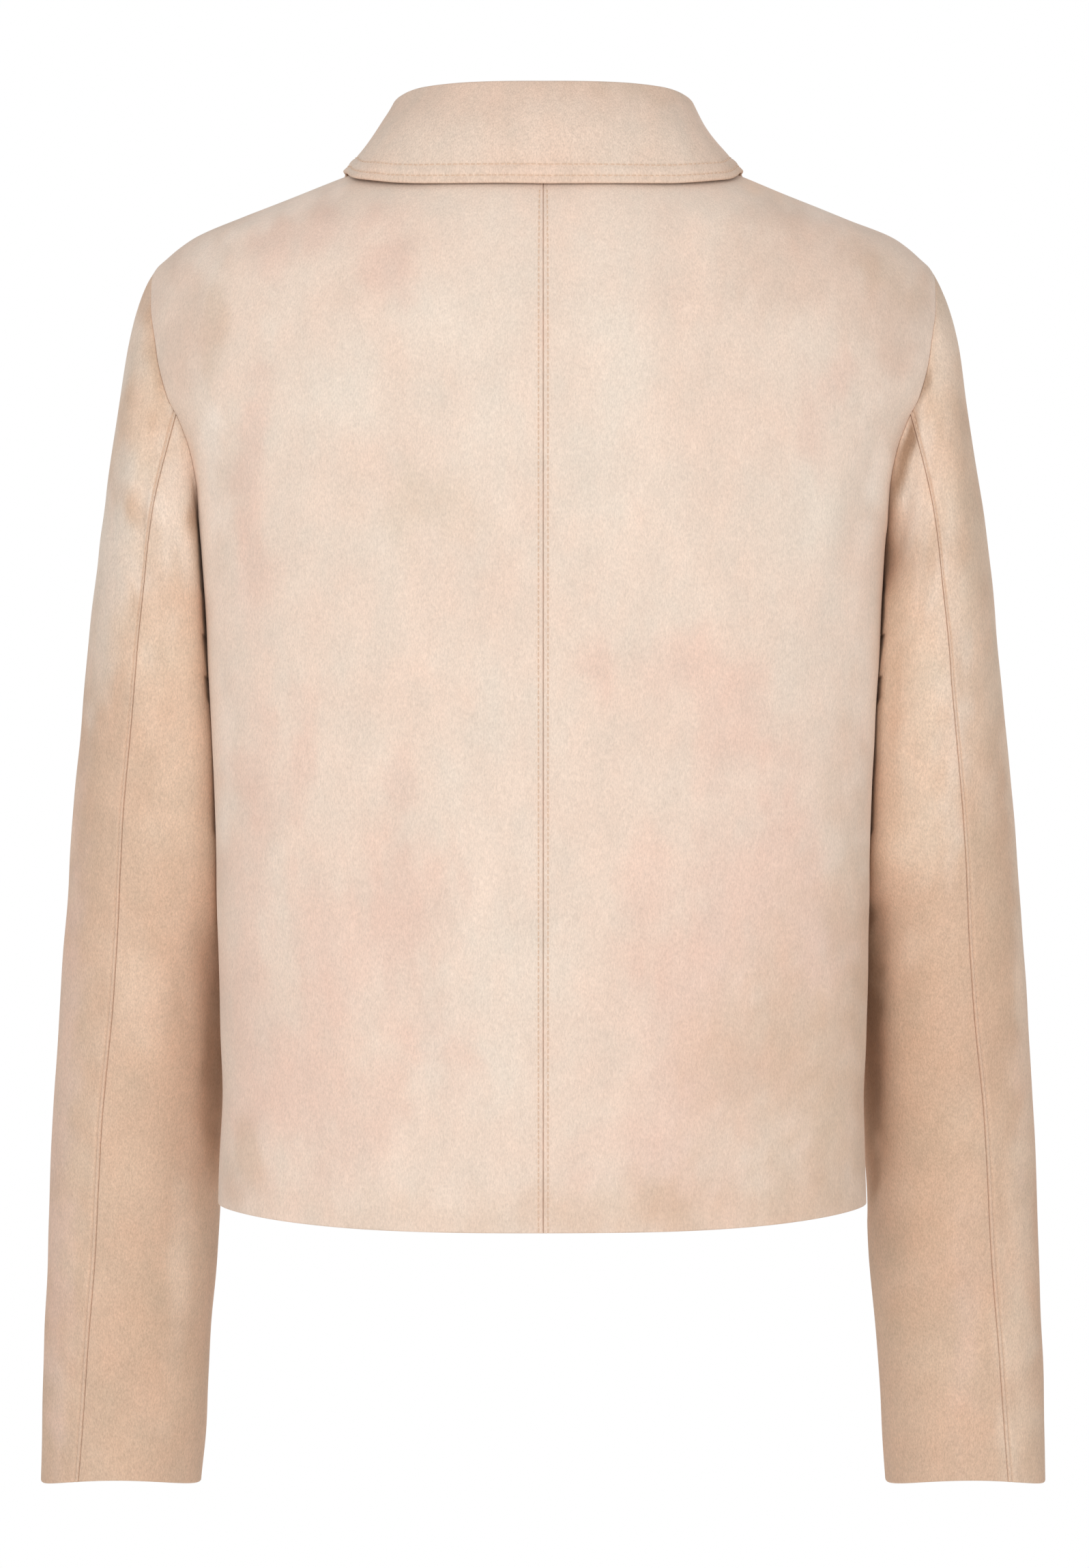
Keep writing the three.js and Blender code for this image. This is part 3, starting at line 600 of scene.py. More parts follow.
def sleeve_piece(is_under, side, tables, seed):
    """One piece of a sleeve. The back and the front each have their own creases and patches."""
    back_creases, back_patches, front_creases, front_patches = tables
    length = 560
    mirror = np.array((side, 1, 1))
    cap = np.array((0, 0.1, 0.25, 0.45, 0.75, 1.1, 1.6, 2.3, 3.1, 4.1, 5.3, 7, 9, 11.5, 14.5, 18))
    cuff = np.array(PLAIN)[::-1]
    down = np.concatenate((cap, np.linspace(cap[-1], length - cuff[0], 176)[1:-1], length - cuff)) / length
    start = seams["back"](down) if is_under else seams["front"](down) - 360
    end = seams["front"](down) if is_under else seams["back"](down)
    crowding = (PLAIN, PLAIN if is_under else STITCHED)
    count = 28 if is_under else 50
    angle, down = even_places(sleeve_point, (start, down), (end, down), crowding, count, 181)
    base = sleeve_point(angle, down)
    normals = sleeve_normal(angle, down)
    base = tucked(base, *TUCKS[side])
    left, right, top, bottom = border_distances(base)

    place = base * mirror
    on_back = smooth(-0.35, 0.35, np.sin(np.radians(angle)))
    rise = 0.3 * waves(place, 95, 21) + 0.14 * waves(place, 38, 22)
    rise = rise - on_back * crease_depth(place[..., 0], place[..., 2], back_creases)
    rise = rise - (1 - on_back) * crease_depth(place[..., 0], place[..., 2], front_creases)
    rise = rise * smooth(0, 24, top)
    rise = rise + 0.2 * uneven(angle, 14, seed) * bell(top - 6, 6) * smooth(1, 5, top)
    rise = rise + 0.16 * uneven(angle, 24, seed + 1) * bell(bottom, 10) * smooth(0, 1, bottom)
    near_seam = left if is_under else right
    pressed = 0.3 * bell(near_seam, 1.2)
    if not is_under:
        ridge = 0.5 * bell(right - 1.15, 0.85) - 0.34 * bell(right - SEAM_STITCH, 0.55)
        band = 0.3 * smooth(2.4, 3.4, right) * (1 - smooth(5, 7.5, right))
        ripple = 0.18 * uneven(base[..., 2], 15, seed + 2) * bell(right - 9, 6) * smooth(2.6, 6, right)
        rise = rise + ridge + band + ripple
        pressed = 0.5 * bell(right - 1, 1.9)
    middle = base + normals * rise[..., None]

    distance = np.minimum(np.minimum(left, right), np.minimum(bottom, top))
    rounding = np.where(distance == bottom, EDGE_ROUNDING, SEAM_ROUNDING)
    at_armhole = (top < 2) & (top <= np.minimum(left, right))
    shared = seam_sink(angle)
    sink = np.where(at_armhole[..., None], shared, normals * (WALL / 2))
    outer, inner = walls(middle, normals, edge_shape(distance, rounding), sink)
    # Suede tone with the painted shade, painted light and painted sheen of the sleeve patches
    tint = mix(suede_tone_and_painted_light(place[..., 0], place[..., 2], SLEEVE_TINT, front_patches, seed + 5),
               suede_tone_and_painted_light(place[..., 0], place[..., 2], SLEEVE_TINT, back_patches, seed + 6), on_back[..., None])
    tint = mix(tint, PRESSED * 0.9, pressed[..., None])
    return {"outer": outer * mirror, "inner": inner * mirror, "normals": normals * mirror, "tint": tint,
            "left": left, "right": right}


# Collar

def collar_middle(along, path):
    """The folded section: path 0 to 1 up the stand, 1 to 2 over the fold, 2 to 3 down the fall."""
    side = np.where(along < 0, -1, 1)[:, None]
    along = np.abs(along)
    angle, z = neck_place(along)
    foot = form_point(angle, z)
    normal = form_normal(angle, z)
    outwards = unit(points(foot[..., 0], foot[..., 1] - ARMHOLE_Y, 0))
    lean = points(0, 0, fall["rise"](along)) + outwards * fall["out"](along)[..., None]
    start = foot - normal * (WALL / 2)
    edge_at = (fall["edge_angle"](along), fall["edge_z"](along))
    edge = form_point(*edge_at) + form_normal(*edge_at) * COLLAR_EDGE_LIFT
    up = np.array((0, 0, 1.0))
    top = start + lean
    centre = top + outwards * COLLAR_FOLD_RADIUS

    def around(turn):
        across = (COLLAR_FOLD_RADIUS * np.cos(turn))[None, :, None]
        raised = (COLLAR_FOLD_RADIUS * np.sin(turn))[None, :, None]
        return centre[:, None] + outwards[:, None] * across + up * raised

    stand = start[:, None] + lean[:, None] * np.clip(path, 0, 1)[None, :, None]
    fold = around(np.radians(mix(180, 40, np.clip(path - 1, 0, 1))))
    shoulder = around(np.radians(np.array([40.0])))
    share = np.clip(path - 2, 0, 1)[None, :, None]
    bulge = unit(outwards + up)[:, None]
    belly = fall["belly"](along)[:, None, None] * np.sin(np.pi * share)
    down = shoulder + (edge[:, None] - shoulder) * share + bulge * belly
    place = np.where((path < 1)[None, :, None], stand, np.where((path < 2)[None, :, None], fold, down))
    place[..., 0] *= side
    normal[..., 0] *= side[:, 0]
    return place, normal


def collar(patches, seed):
    end = 1 + COLLAR_END_ANGLE / 90
    ends = end - np.array(EDGE_STITCHED)[::-1] / 128
    half = np.concatenate((np.linspace(0, ends[0], 92)[:-1], ends))
    along = np.concatenate((-half[:0:-1], half))
    fall_length = 52
    edge = 3 - np.array(EDGE_STITCHED)[::-1] / fall_length
    path = np.concatenate((np.array(PLAIN[:8]) / 30, np.linspace(0.12, 1, 11), np.linspace(1, 2, 13)[1:],
                           np.linspace(2, edge[0], 18)[1:-1], edge))
    base, foot_normal = collar_middle(along, path)
    along_rows = np.gradient(base, axis=0)
    along_path = np.gradient(base, axis=1)
    normals = unit(np.cross(along_rows, along_path))
    if normals[len(along) // 2, -1, 1] < 0:
        normals = -normals
    near_foot = (1 - smooth(0, 4, border_distances(base)[0]))[..., None]
    normals = unit(mix(normals, foot_normal[:, None], near_foot))
    foot, fall_edge, end_a, end_b = border_distances(base)
    on_fall = smooth(2, 2.3, path)[None, :]
    ends_near = np.minimum(end_a, end_b)
    edge_near = np.minimum(fall_edge, ends_near)
    rows = sum(bell(edge_near - distance, 0.7) for distance in EDGE_STITCHES)
    pillow = bell(edge_near - 6.8, 2.4)
    rise = on_fall * (0.4 * pillow - 0.34 * rows + 0.35 * waves(base, 46, seed))
    rise = rise + on_fall * 0.14 * uneven(base[..., 0], 11, seed + 1) * bell(fall_edge - 7, 6)
    middle = base + normals * (WALL / 2 + rise)[..., None]
    distance = np.minimum(np.minimum(foot, fall_edge), ends_near)
    rounding = np.where(distance == foot, SEAM_ROUNDING, EDGE_ROUNDING)
    outer, inner = walls(middle, normals, edge_shape(distance, rounding))
    tint = suede_tone_and_painted_light(base[..., 0], base[..., 2], COLLAR_TINT, patches, seed + 5)
    pressed = on_fall * (0.45 * rows + 0.4 * bell(edge_near, 2.2))
    tint = mix(tint, PRESSED, pressed[..., None])
    return {"outer": outer, "inner": inner, "tint": tint, "normals": normals, "fall_edge": fall_edge,
            "ends": ends_near}


# Stitches

def line_at(piece, key, distance, rows):
    """Points and normals of a grid's rows at one distance from a border."""
    at, facing = [], []
    for outer, normal, lengths in zip(piece["outer"][rows], piece["normals"][rows], piece[key][rows]):
        order = np.argsort(lengths)
        at.append([np.interp(distance, lengths[order], outer[order, axis]) for axis in range(3)])
        facing.append([np.interp(distance, lengths[order], normal[order, axis]) for axis in range(3)])
    return np.array(at), unit(np.array(facing))


def stitch_mesh(name, lines, pitch, length, thickness, sunk, seed):
    """One mesh of short capsules laid end to end along lines of points with normals."""
    random = np.random.default_rng(seed)
    along = np.array((-0.5, -0.44, -0.25, 0, 0.25, 0.44, 0.5))
    radius = np.array((0.3, 0.75, 1, 1, 1, 0.75, 0.3)) * thickness / 2
    arch = 0.16 * (1 - (2 * along) ** 2) - sunk
    turn = np.linspace(0, 2 * np.pi, 7)[:-1]
    vertices, faces = [], []
    for at, normals in lines:
        lengths = np.pad(np.cumsum(np.linalg.norm(np.diff(at, axis=0), axis=1)), (1, 0))
        centres = np.arange(pitch * 0.6, lengths[-1] - pitch * 0.4, pitch)
        centres = centres + random.normal(0, 0.035 * pitch, len(centres))

        def read(values, where):
            return np.stack([np.interp(where, lengths, values[:, axis]) for axis in range(3)], -1)

        centre = read(at, centres)
        run = unit(read(at, centres + 0.5) - read(at, centres - 0.5))
        up = unit(read(normals, centres))
        beside = unit(np.cross(run, up))
        lean = random.normal(0, 0.05, (len(centres), 1))
        run = unit(run + beside * lean)
        sizes = length * random.uniform(0.94, 1.05, (len(centres), 1, 1, 1))
        ring = along[None, :, None, None] * sizes * run[:, None, None]
        swell = radius[None, :, None, None]
        ring = ring + beside[:, None, None] * (np.cos(turn)[None, None, :, None] * swell * 1.1)
        ring = ring + up[:, None, None] * (np.sin(turn)[None, None, :, None] * swell)
        ring = ring + up[:, None, None] * arch[None, :, None, None]
        block = (centre[:, None, None] + ring).reshape(-1, 3)
        for i in range(len(centres)):
            first = sum(len(part) for part in vertices) + i * 42
            for j in range(6):
                for k in range(6):
                    a, b = first + j * 6 + k, first + j * 6 + (k + 1) % 6
                    faces.append((a, b, b + 6, a + 6))
            faces.append(tuple(range(first + 5, first - 1, -1)))
            faces.append(tuple(range(first + 36, first + 42)))
        vertices.append(block)
    return mesh_object(name, np.concatenate(vertices) * MM, faces)


# Materials

def give(tree, node, inputs):
    for name, value in inputs.items():
        if isinstance(value, bpy.types.NodeSocket):
            tree.links.new(value, node.inputs[name])
        else:
            node.inputs[name].default_value = value


def add(tree, kind, inputs, **settings):
    """A new shader node with these settings, whose inputs are linked or given as values."""
    node = tree.nodes.new("ShaderNode" + kind)
    for name, value in settings.items():
        setattr(node, name, value)
    give(tree, node, inputs)
    return node


def node_material(name):
    material = bpy.data.materials.new(name)
    material.use_nodes = True
    tree = material.node_tree
    place = add(tree, "TexCoord", {}).outputs["Object"]
    return material, tree, tree.nodes["Principled BSDF"], place


def noise(tree, vector, scale, detail, roughness=0.5):
    inputs = {"Vector": vector, "Scale": scale, "Detail": detail, "Roughness": roughness}
    return add(tree, "TexNoise", inputs).outputs["Fac"]


def stretched(tree, vector, scale, turn=(0, 0, 0)):
    return add(tree, "Mapping", {"Vector": vector, "Scale": scale, "Rotation": turn}).outputs["Vector"]


def spread(tree, value, low, high, to_low, to_high):
    inputs = {"Value": value, "From Min": low, "From Max": high, "To Min": to_low, "To Max": to_high}
    return add(tree, "MapRange", inputs).outputs["Result"]


def arithmetic(tree, kind, a, b):
    return add(tree, "Math", {0: a, 1: b}, operation=kind).outputs[0]


def ramp(tree, value, low, high, start=0, end=1):
    node = add(tree, "ValToRGB", {"Fac": value})
    for element, colour, position in zip(node.color_ramp.elements, (low, high), (start, end)):
        element.color = colour
        element.position = position
    return node.outputs["Color"]


def suede_material(name, grain):
    """Suede with brushed fibres, which show more where the grain is higher."""
    material, tree, shader, place = node_material(name)
    fibres = noise(tree, stretched(tree, place, (1, 1, 0.42), (0.12, 0.2, 0)), 1500, 2, 0.6)
    tufts = noise(tree, stretched(tree, place, (1, 1, 0.55), (0, -0.3, 0)), 420, 3, 0.6)
    smudges = noise(tree, stretched(tree, place, (1, 1, 0.6), (0, 0.5, 0)), 75, 3, 0.55)
    fields = noise(tree, place, 19, 2)

    def shaded(value, low, high, darker, paler):
        return spread(tree, value, low, high, 1 - darker * grain, 1 + paler * grain)

    shade = arithmetic(tree, "MULTIPLY", shaded(fibres, 0.25, 0.75, 0.125, 0.105),
                       shaded(tufts, 0.25, 0.75, 0.035, 0.035))
    shade = arithmetic(tree, "MULTIPLY", shade, shaded(smudges, 0.3, 0.7, 0.032, 0.032))
    fields = arithmetic(tree, "ADD", fields, arithmetic(tree, "MULTIPLY", smudges, 0.8))
    warmth = add(tree, "Mix", {"Factor": spread(tree, fields, 0.65, 1.15, 0, 1),
                               "A": (1.0, 1.024, 1.03, 1), "B": (1.0, 0.962, 0.948, 1)}, data_type="RGBA")
    # Vertex colour: the suede's tone with painted shade and painted light
    tint = add(tree, "Attribute", {}, attribute_name="tone_and_painted_light").outputs["Color"]
    brushed = add(tree, "Mix", {"Factor": 1, "A": tint, "B": warmth.outputs["Result"]},
                  data_type="RGBA", blend_type="MULTIPLY")
    scaled = add(tree, "VectorMath", {"Vector": brushed.outputs["Result"], "Scale": shade}, operation="SCALE")
    height = arithmetic(tree, "ADD", arithmetic(tree, "MULTIPLY", fibres, 0.6), tufts)
    bump = add(tree, "Bump", {"Strength": 0.35, "Distance": 0.0004, "Height": height})
    give(tree, shader, {
        "Base Color": scaled.outputs["Vector"],
        "Roughness": 0.95,
        "Specular IOR Level": 0.15,
        "Sheen Weight": 0.07,
        "Sheen Roughness": 0.5,
        "Sheen Tint": (1.0, 0.93, 0.86, 1),
        "Normal": bump.outputs["Normal"],
    })
    return material


def thread_material():
    material, tree, shader, place = node_material("thread")
    colour = ramp(tree, noise(tree, place, 2600, 1), (0.66, 0.47, 0.34, 1), (0.80, 0.61, 0.47, 1))
    give(tree, shader, {"Base Color": colour, "Roughness": 0.6})
    return material


def button_material():
    material, tree, shader, place = node_material("resin")
    clouds = noise(tree, stretched(tree, place, (1, 1, 0.35)), 160, 3)
    colour = ramp(tree, clouds, (0.50, 0.36, 0.26, 1), (0.74, 0.60, 0.47, 1), 0.3, 0.7)
    scratches = noise(tree, place, 900, 2)
    give(tree, shader, {"Base Color": colour, "Roughness": spread(tree, scratches, 0.3, 0.7, 0.3, 0.42)})
    return material


def floor_material():
    material, tree, shader, _ = node_material("floor")
    give(tree, shader, {"Base Color": (0.9, 0.89, 0.88, 1), "Roughness": 0.9})
    return material


# Buttons

def button_mesh():
    """A round button with a rim, a dished middle and four holes, about its own +Z axis."""
    profile = ((0, 0), (8.6, 0), (9.5, 0.35), (10, 1.1), (10, 2.1), (9.7, 2.8), (9.0, 3.15), (8.2, 3.2),
               (7.4, 3.0), (6.6, 2.5), (5.6, 2.25), (3.6, 2.15), (0, 2.1))
    segments = 56
    turn = np.linspace(0, 2 * np.pi, segments + 1)[:-1]
    rings = [(0.0, 0.0, profile[0][1])]
    for radius, height in profile[1:-1]:
        rings += [(radius * math.cos(a), radius * math.sin(a), height) for a in turn]
    rings.append((0.0, 0.0, profile[-1][1]))
    faces = []
    for i in range(segments):
        follow = (i + 1) % segments
        faces.append((0, 1 + follow, 1 + i))
        for j in range(len(profile) - 3):
            a = 1 + j * segments
            faces.append((a + i, a + follow, a + segments + follow, a + segments + i))
        a = 1 + (len(profile) - 3) * segments
        faces.append((a + i, a + follow, len(rings) - 1))
    blank = bpy.data.meshes.new("button_blank")
    blank.from_pydata((np.array(rings) * MM).tolist(), [], faces)
    body = bpy.data.objects.new("button_blank", blank)
    bpy.context.collection.objects.link(body)
    drills = []
    for x, y in ((1.5, 1.5), (1.5, -1.5), (-1.5, 1.5), (-1.5, -1.5)):
        bpy.ops.mesh.primitive_cylinder_add(vertices=20, radius=0.95 * MM, depth=8 * MM,
                                            location=(x * MM, y * MM, 1.5 * MM))
        drills.append(bpy.context.object)
        cut = body.modifiers.new("hole", "BOOLEAN")
        cut.operation = "DIFFERENCE"
        cut.object = drills[-1]
    graph = bpy.context.evaluated_depsgraph_get()
    drilled = bpy.data.meshes.new_from_object(body.evaluated_get(graph))
    for spare in (*drills, body):
        bpy.data.objects.remove(spare)
    drilled.polygons.foreach_set("use_smooth", np.ones(len(drilled.polygons), bool))
    drilled.set_sharp_from_angle(angle=math.radians(40))
    return drilled


def seated(objects, origin, outwards):
    """Turns pieces made about +Z so that they face outwards at a place, in millimetres."""
    turn = Vector((0, 0, 1)).rotation_difference(Vector(outwards)).to_matrix().to_4x4()
    for piece in objects:
        piece.matrix_world = Matrix.Translation(Vector(origin) * MM) @ turn


# Creases and patches of colour, in x and z as the back or the front is seen square on. Most patches give the
# suede's own tone; those noted above their rows are painted shade, painted light or painted sheen.

BACK_CREASES = (
    # start x, z, end x, z, bow, width, depth
    (-168, -150, -140, -250, 6, 9, 0.8),
    (166, -146, 143, -235, -5, 8, 0.7),
    (-150, -90, -118, -160, 5, 12, 0.5),
    (152, -84, 122, -150, -6, 12, 0.45),
    (-60, -300, -40, -420, 5, 14, 0.3),
    (80, -350, 96, -480, -6, 15, 0.35),
)
BACK_PATCHES = (
    # centre x, z, half width, half height, tilt, colour, strength
    (36, -123, 36, 80, 3, CREAM, 0.6),
    (-40, -138, 40, 88, -4, CREAM, 0.65),
    (100, -108, 45, 34, 8, CREAM, 0.85),
    (21, -351, 30, 122, 2, CREAM, 0.7),
    (36, -446, 20, 46, 20, CREAM, 0.5),
    (-131, -199, 18, 60, 0, CREAM, 0.5),
    (132, -260, 26, 130, 0, CREAM, 0.3),
    (74, -58, 17, 21, 0, PINK, 0.75),
    (104, -37, 24, 15, -8, PINK, 0.75),
    (135, -47, 18, 21, 0, PINK, 0.6),
    (144, -146, 10, 38, 10, PINK, 0.65),
    (142, -210, 12, 34, 0, PINK, 0.6),
    (118, -298, 9, 34, 4, PINK, 0.6),
    (137, -313, 9, 46, 0, PINK, 0.4),
    (81, -382, 38, 44, 0, PINK, 0.9),
    (112, -465, 40, 40, 0, PINK, 0.75),
    (146, -400, 14, 120, 0, PINK, 0.5),
    (-27, -256, 9, 19, 0, PINK, 0.65),
    (-78, -260, 31, 20, 6, PINK, 0.65),
    (-143, -112, 12, 13, 0, PINK, 0.7),
    (-135, -140, 9, 24, 0, PINK, 0.5),
    (-109, -363, 50, 56, 0, PINK, 0.85),
    (-71, -435, 36, 60, 8, PINK, 0.75),
    (-60, -500, 40, 30, 0, PINK, 0.6),
    # Painted shade at the left shoulder's end
    (163, -85, 9, 25, 0, TAN, 0.35),
    (178, -84, 14, 34, 0, ROSY_TAN_PAINTED_SHADE, 0.5),
    (52, -440, 22, 26, 10, PINK, 0.7),
    (68, -313, 9, 20, 0, PINK, 0.6),
    (-92, -293, 24, 26, 0, PINK, 0.7),
    (-50, -370, 16, 34, 6, PINK, 0.6),
    (43, -427, 9, 66, 24, CREAM, 0.6),
    (-58, -518, 16, 16, 0, TAN, 0.45),
    (-122, -430, 30, 60, 0, TAN, 0.4),
    (146, -500, 12, 24, 0, TAN, 0.4),
    # Darker rosy tone on the right yoke, with painted shade at the right shoulder's end and under the
    # collar's edge
    (-128, -62, 40, 32, -10, ROSY_TAN_PAINTED_SHADE, 0.5),
    (-172, -77, 18, 34, 0, ROSY_TAN_PAINTED_SHADE, 0.6),
    (-120, -35, 30, 14, -20, ROSY_TAN_PAINTED_SHADE, 0.5),
    (-112, -470, 44, 60, 0, TAN, 0.4),
    (-60, -522, 90, 18, 0, TAN, 0.35),
    (60, -524, 70, 14, 0, TAN, 0.15),
    (-139, -495, 20, 44, 0, TAN, 0.4),
    (-150, -400, 14, 110, 0, TAN, 0.35),
    (57, -178, 28, 18, 8, SMUDGE, 0.6),
    # Painted light on the sides beside the sleeves, at the left shoulder's end and under the collar's edge
    (168, -185, 10, 50, 6, PAINTED_LIGHT, 0.8),
    (162, -290, 9, 80, 3, PAINTED_LIGHT, 0.7),
    (124, -24, 34, 10, -25, PAINTED_LIGHT, 0.8),
    (172, -50, 20, 12, -32, PAINTED_LIGHT, 0.45),
    (-168, -165, 10, 30, -8, PAINTED_LIGHT, 0.9),
    (-163, -270, 8, 80, -3, PAINTED_LIGHT, 0.4),
    # Painted shade at the right side, beside the gap to the sleeve
    (-159, -450, 9, 90, 0, TAN, 0.5),
    # Painted light under the collar's edge on the right
    (-112, -15, 14, 9, 25, WARM_PAINTED_LIGHT, 0.8),
    (-137, -28, 14, 9, 27, PAINTED_LIGHT, 0.6),
    # Painted shade at the right shoulder's end
    (-165, -56, 16, 12, 30, TAN, 0.35),
    (-186, -66, 10, 14, 40, TAN, 0.35),
)
FRONT_CREASES = (
    (-160, -150, -128, -246, 6, 9, 0.8),
    (163, -152, 136, -232, -5, 10, 0.75),
    (-120, -120, -84, -190, 8, 13, 0.45),
    (126, -128, 92, -206, -7, 12, 0.4),
    (70, -330, 88, -450, -6, 15, 0.35),
    (-78, -300, -92, -430, 5, 14, 0.3),
)
FRONT_PATCHES = (
    (62, -340, 32, 110, 3, CREAM, 0.65),
    (-58, -140, 32, 84, 0, CREAM, 0.6),
    (-40, -430, 24, 70, -6, CREAM, 0.5),
    (98, -120, 30, 40, 5, CREAM, 0.5),
    (118, -190, 24, 60, 5, PINK, 0.65),
    (-96, -250, 34, 60, -4, PINK, 0.7),
    (-120, -420, 34, 60, 8, PINK, 0.6),
    (40, -230, 14, 34, 0, PINK, 0.55),
    (128, -440, 30, 60, -6, PINK, 0.5),
    (-30, -300, 10, 30, 0, PINK, 0.5),
    (110, -60, 26, 26, 12, TAN, 0.4),
    (-140, -70, 20, 30, 0, TAN, 0.4),
    (-60, -500, 40, 24, 0, TAN, 0.35),
    (72, -470, 26, 16, 8, SMUDGE, 0.5),
)
SLEEVE_LEFT_CREASES = (
    (193, -74, 190, -112, 2, 4, 0.9),
    (221, -172, 200, -202, 3, 6, 0.6),
    (181, -178, 176, -205, 2, 6, 0.9),
    (201, -252, 176, -262, -2, 6, 0.5),
    (228, -330, 206, -350, 3, 8, 0.35),
    (196, -470, 184, -520, -3, 8, 0.3),
    (166, -400, 168, -490, 0, 5, 1.5),
)
SLEEVE_LEFT_PATCHES = (
    (206, -140, 34, 110, 4, LIGHT_TAN, 0.6),
    (220, -200, 20, 60, 4, LIGHT_TAN, 0.85),
    # Painted light on the inner side beside the body, against the shade of the gap
    (180, -270, 16, 120, 0, LIGHT_TAN, 0.4),
    (184, -172, 16, 54, 6, CREAM, 0.9),
    (204, -90, 9, 26, 6, CREAM, 0.45),
    (216, -215, 16, 50, 12, CREAM, 0.7),
    (203, -420, 18, 30, 0, LIGHT_TAN, 0.5),
    (185, -560, 7, 60, 6, LIGHT_TAN, 0.6),
    (193, -92, 6, 30, 0, TAN, 0.8),
    (206, -176, 8, 24, -35, TAN, 0.6),
    (230, -236, 5, 26, 5, TAN, 0.4),
    (190, -210, 10, 18, 0, TAN, 0.3),
    (216, -120, 9, 34, 5, TAN, 0.35),
    # Painted shade on the inner side, in the gap beside the body
    (164, -500, 8, 90, 0, TAN, 0.9),
    (196, -610, 24, 70, 0, TAN, 0.5),
    (240, -480, 14, 140, 0, LIGHT_TAN, 0.3),
    (242, -440, 9, 120, 4, PINK, 0.6),
    (250, -580, 9, 80, 0, PINK, 0.6),
    (212, -96, 7, 40, 8, CREAM, 0.9),
    (226, -190, 9, 60, 8, CREAM, 0.9),
    (216, -182, 9, 34, 8, CREAM, 0.8),
    # Painted sheen along the sleeve's outer edge
    (243, -330, 7, 44, 4, LIGHT_TAN, 0.8),
    # Painted shade in the crease under the armhole and in the gap beside the body
    (174, -180, 3, 14, 0, PAINTED_SHADE, 0.5),
    (165, -410, 3, 34, 0, PAINTED_SHADE, 0.4),
    (167, -462, 6, 34, 0, PAINTED_SHADE, 0.5),
)
SLEEVE_RIGHT_CREASES = (
    (-196, -62, -188, -118, -2, 4, 0.7),
    (-181, -140, -174, -205, -2, 5, 2.2),
    (-174, -215, -169, -300, -2, 5, 1.6),
    (-204, -262, -178, -276, 2, 6, 0.4),
    (-228, -350, -206, -368, -3, 8, 0.35),
    (-198, -488, -186, -532, 3, 8, 0.3),
    (-166, -378, -165, -530, 0, 6, 4),
)
SLEEVE_RIGHT_PATCHES = (
    (-206, -130, 30, 110, -4, LIGHT_TAN, 0.7),
    (-222, -250, 20, 90, -4, LIGHT_TAN, 0.6),
    (-186, -175, 11, 54, -6, CREAM, 0.85),
    (-202, -90, 9, 32, -4, CREAM, 0.4),
    # Painted light on the inner side beside the body, against the shade of the gap
    (-190, -280, 16, 90, 0, LIGHT_TAN, 0.7),
    (-204, -280, 8, 70, 0, CREAM, 0.45),
    # Painted shade on the inner side, in the gap beside the body
    (-163, -440, 7, 110, 0, TAN, 0.9),
    (-242, -590, 10, 120, 0, LIGHT_TAN, 0.6),
    # Painted shade beside the body below the armhole
    (-173, -190, 5, 60, 0, TAN, 0.6),
    (-183, -212, 9, 20, 0, TAN, 0.5),
    (-213, -169, 9, 60, -4, TAN, 0.45),
    (-190, -500, 20, 120, 0, TAN, 0.65),
    (-228, -400, 16, 110, 0, TAN, 0.6),
    (-246, -420, 6, 90, 0, PINK, 0.3),
    (-215, -590, 8, 60, 0, PINK, 0.3),
    (-209, -66, 6, 26, -8, LIGHT_TAN, 0.8),
    # Painted sheen along the sleeve's outer edge
    (-238, -310, 6, 60, -4, LIGHT_TAN, 0.9),
    (-245, -420, 6, 80, -3, LIGHT_TAN, 0.7),
    # Painted shade in the crease under the armhole and in the gap beside the body
    (-181, -146, 3.4, 32, 14, PAINTED_SHADE, 0.95),
    (-163, -455, 7, 85, 0, PAINTED_SHADE, 0.85),
    (-163, -485, 8, 42, 0, PAINTED_SHADE, 0.9),
)
SLEEVE_FRONT_CREASES = (
    (206, -240, 182, -262, 3, 7, 0.6),
    (212, -292, 184, -306, -3, 8, 0.7),
    (228, -342, 196, -352, 2, 8, 0.5),
    (186, -168, 178, -210, 2, 7, 0.8),
    (-204, -232, -180, -256, -3, 7, 0.7),
    (-214, -300, -186, -318, 3, 8, 0.6),
    (-226, -352, -198, -366, -2, 8, 0.5),
    (-187, -160, -178, -204, -2, 7, 0.8),
)
SLEEVE_FRONT_PATCHES = (
    (206, -130, 26, 70, 4, LIGHT_TAN, 0.7),
    (196, -300, 20, 90, 0, LIGHT_TAN, 0.5),
    (214, -520, 20, 90, 4, LIGHT_TAN, 0.5),
    (204, -150, 12, 40, 0, CREAM, 0.35),
    (236, -330, 12, 90, 0, PINK, 0.5),
    (184, -440, 12, 90, 0, TAN, 0.5),
    (-204, -140, 26, 70, -4, LIGHT_TAN, 0.7),
    (-194, -330, 20, 90, 0, LIGHT_TAN, 0.5),
    (-218, -500, 20, 90, -4, LIGHT_TAN, 0.5),
    (-208, -120, 10, 40, 0, CREAM, 0.3),
    (-234, -290, 12, 90, 0, PINK, 0.5),
    (-186, -460, 12, 90, 0, TAN, 0.5),
)
COLLAR_PATCHES = (
    (-30, 10, 70, 20, 0, CREAM, 0.3),
    (60, 8, 34, 18, 0, CREAM, 0.3),
    (-112, 4, 24, 34, 0, TAN, 0.6),
    (104, 0, 26, 24, 0, CREAM, 0.5),
    (96, 26, 22, 14, 0, PINK, 0.4),
    (-60, 32, 50, 8, 0, TAN, 0.25),
)

# Assembly

smooth_suede = suede_material("suede_smooth", 1)
rough_suede = suede_material("suede_rough", 1.35)
thread = thread_material()
resin = button_material()


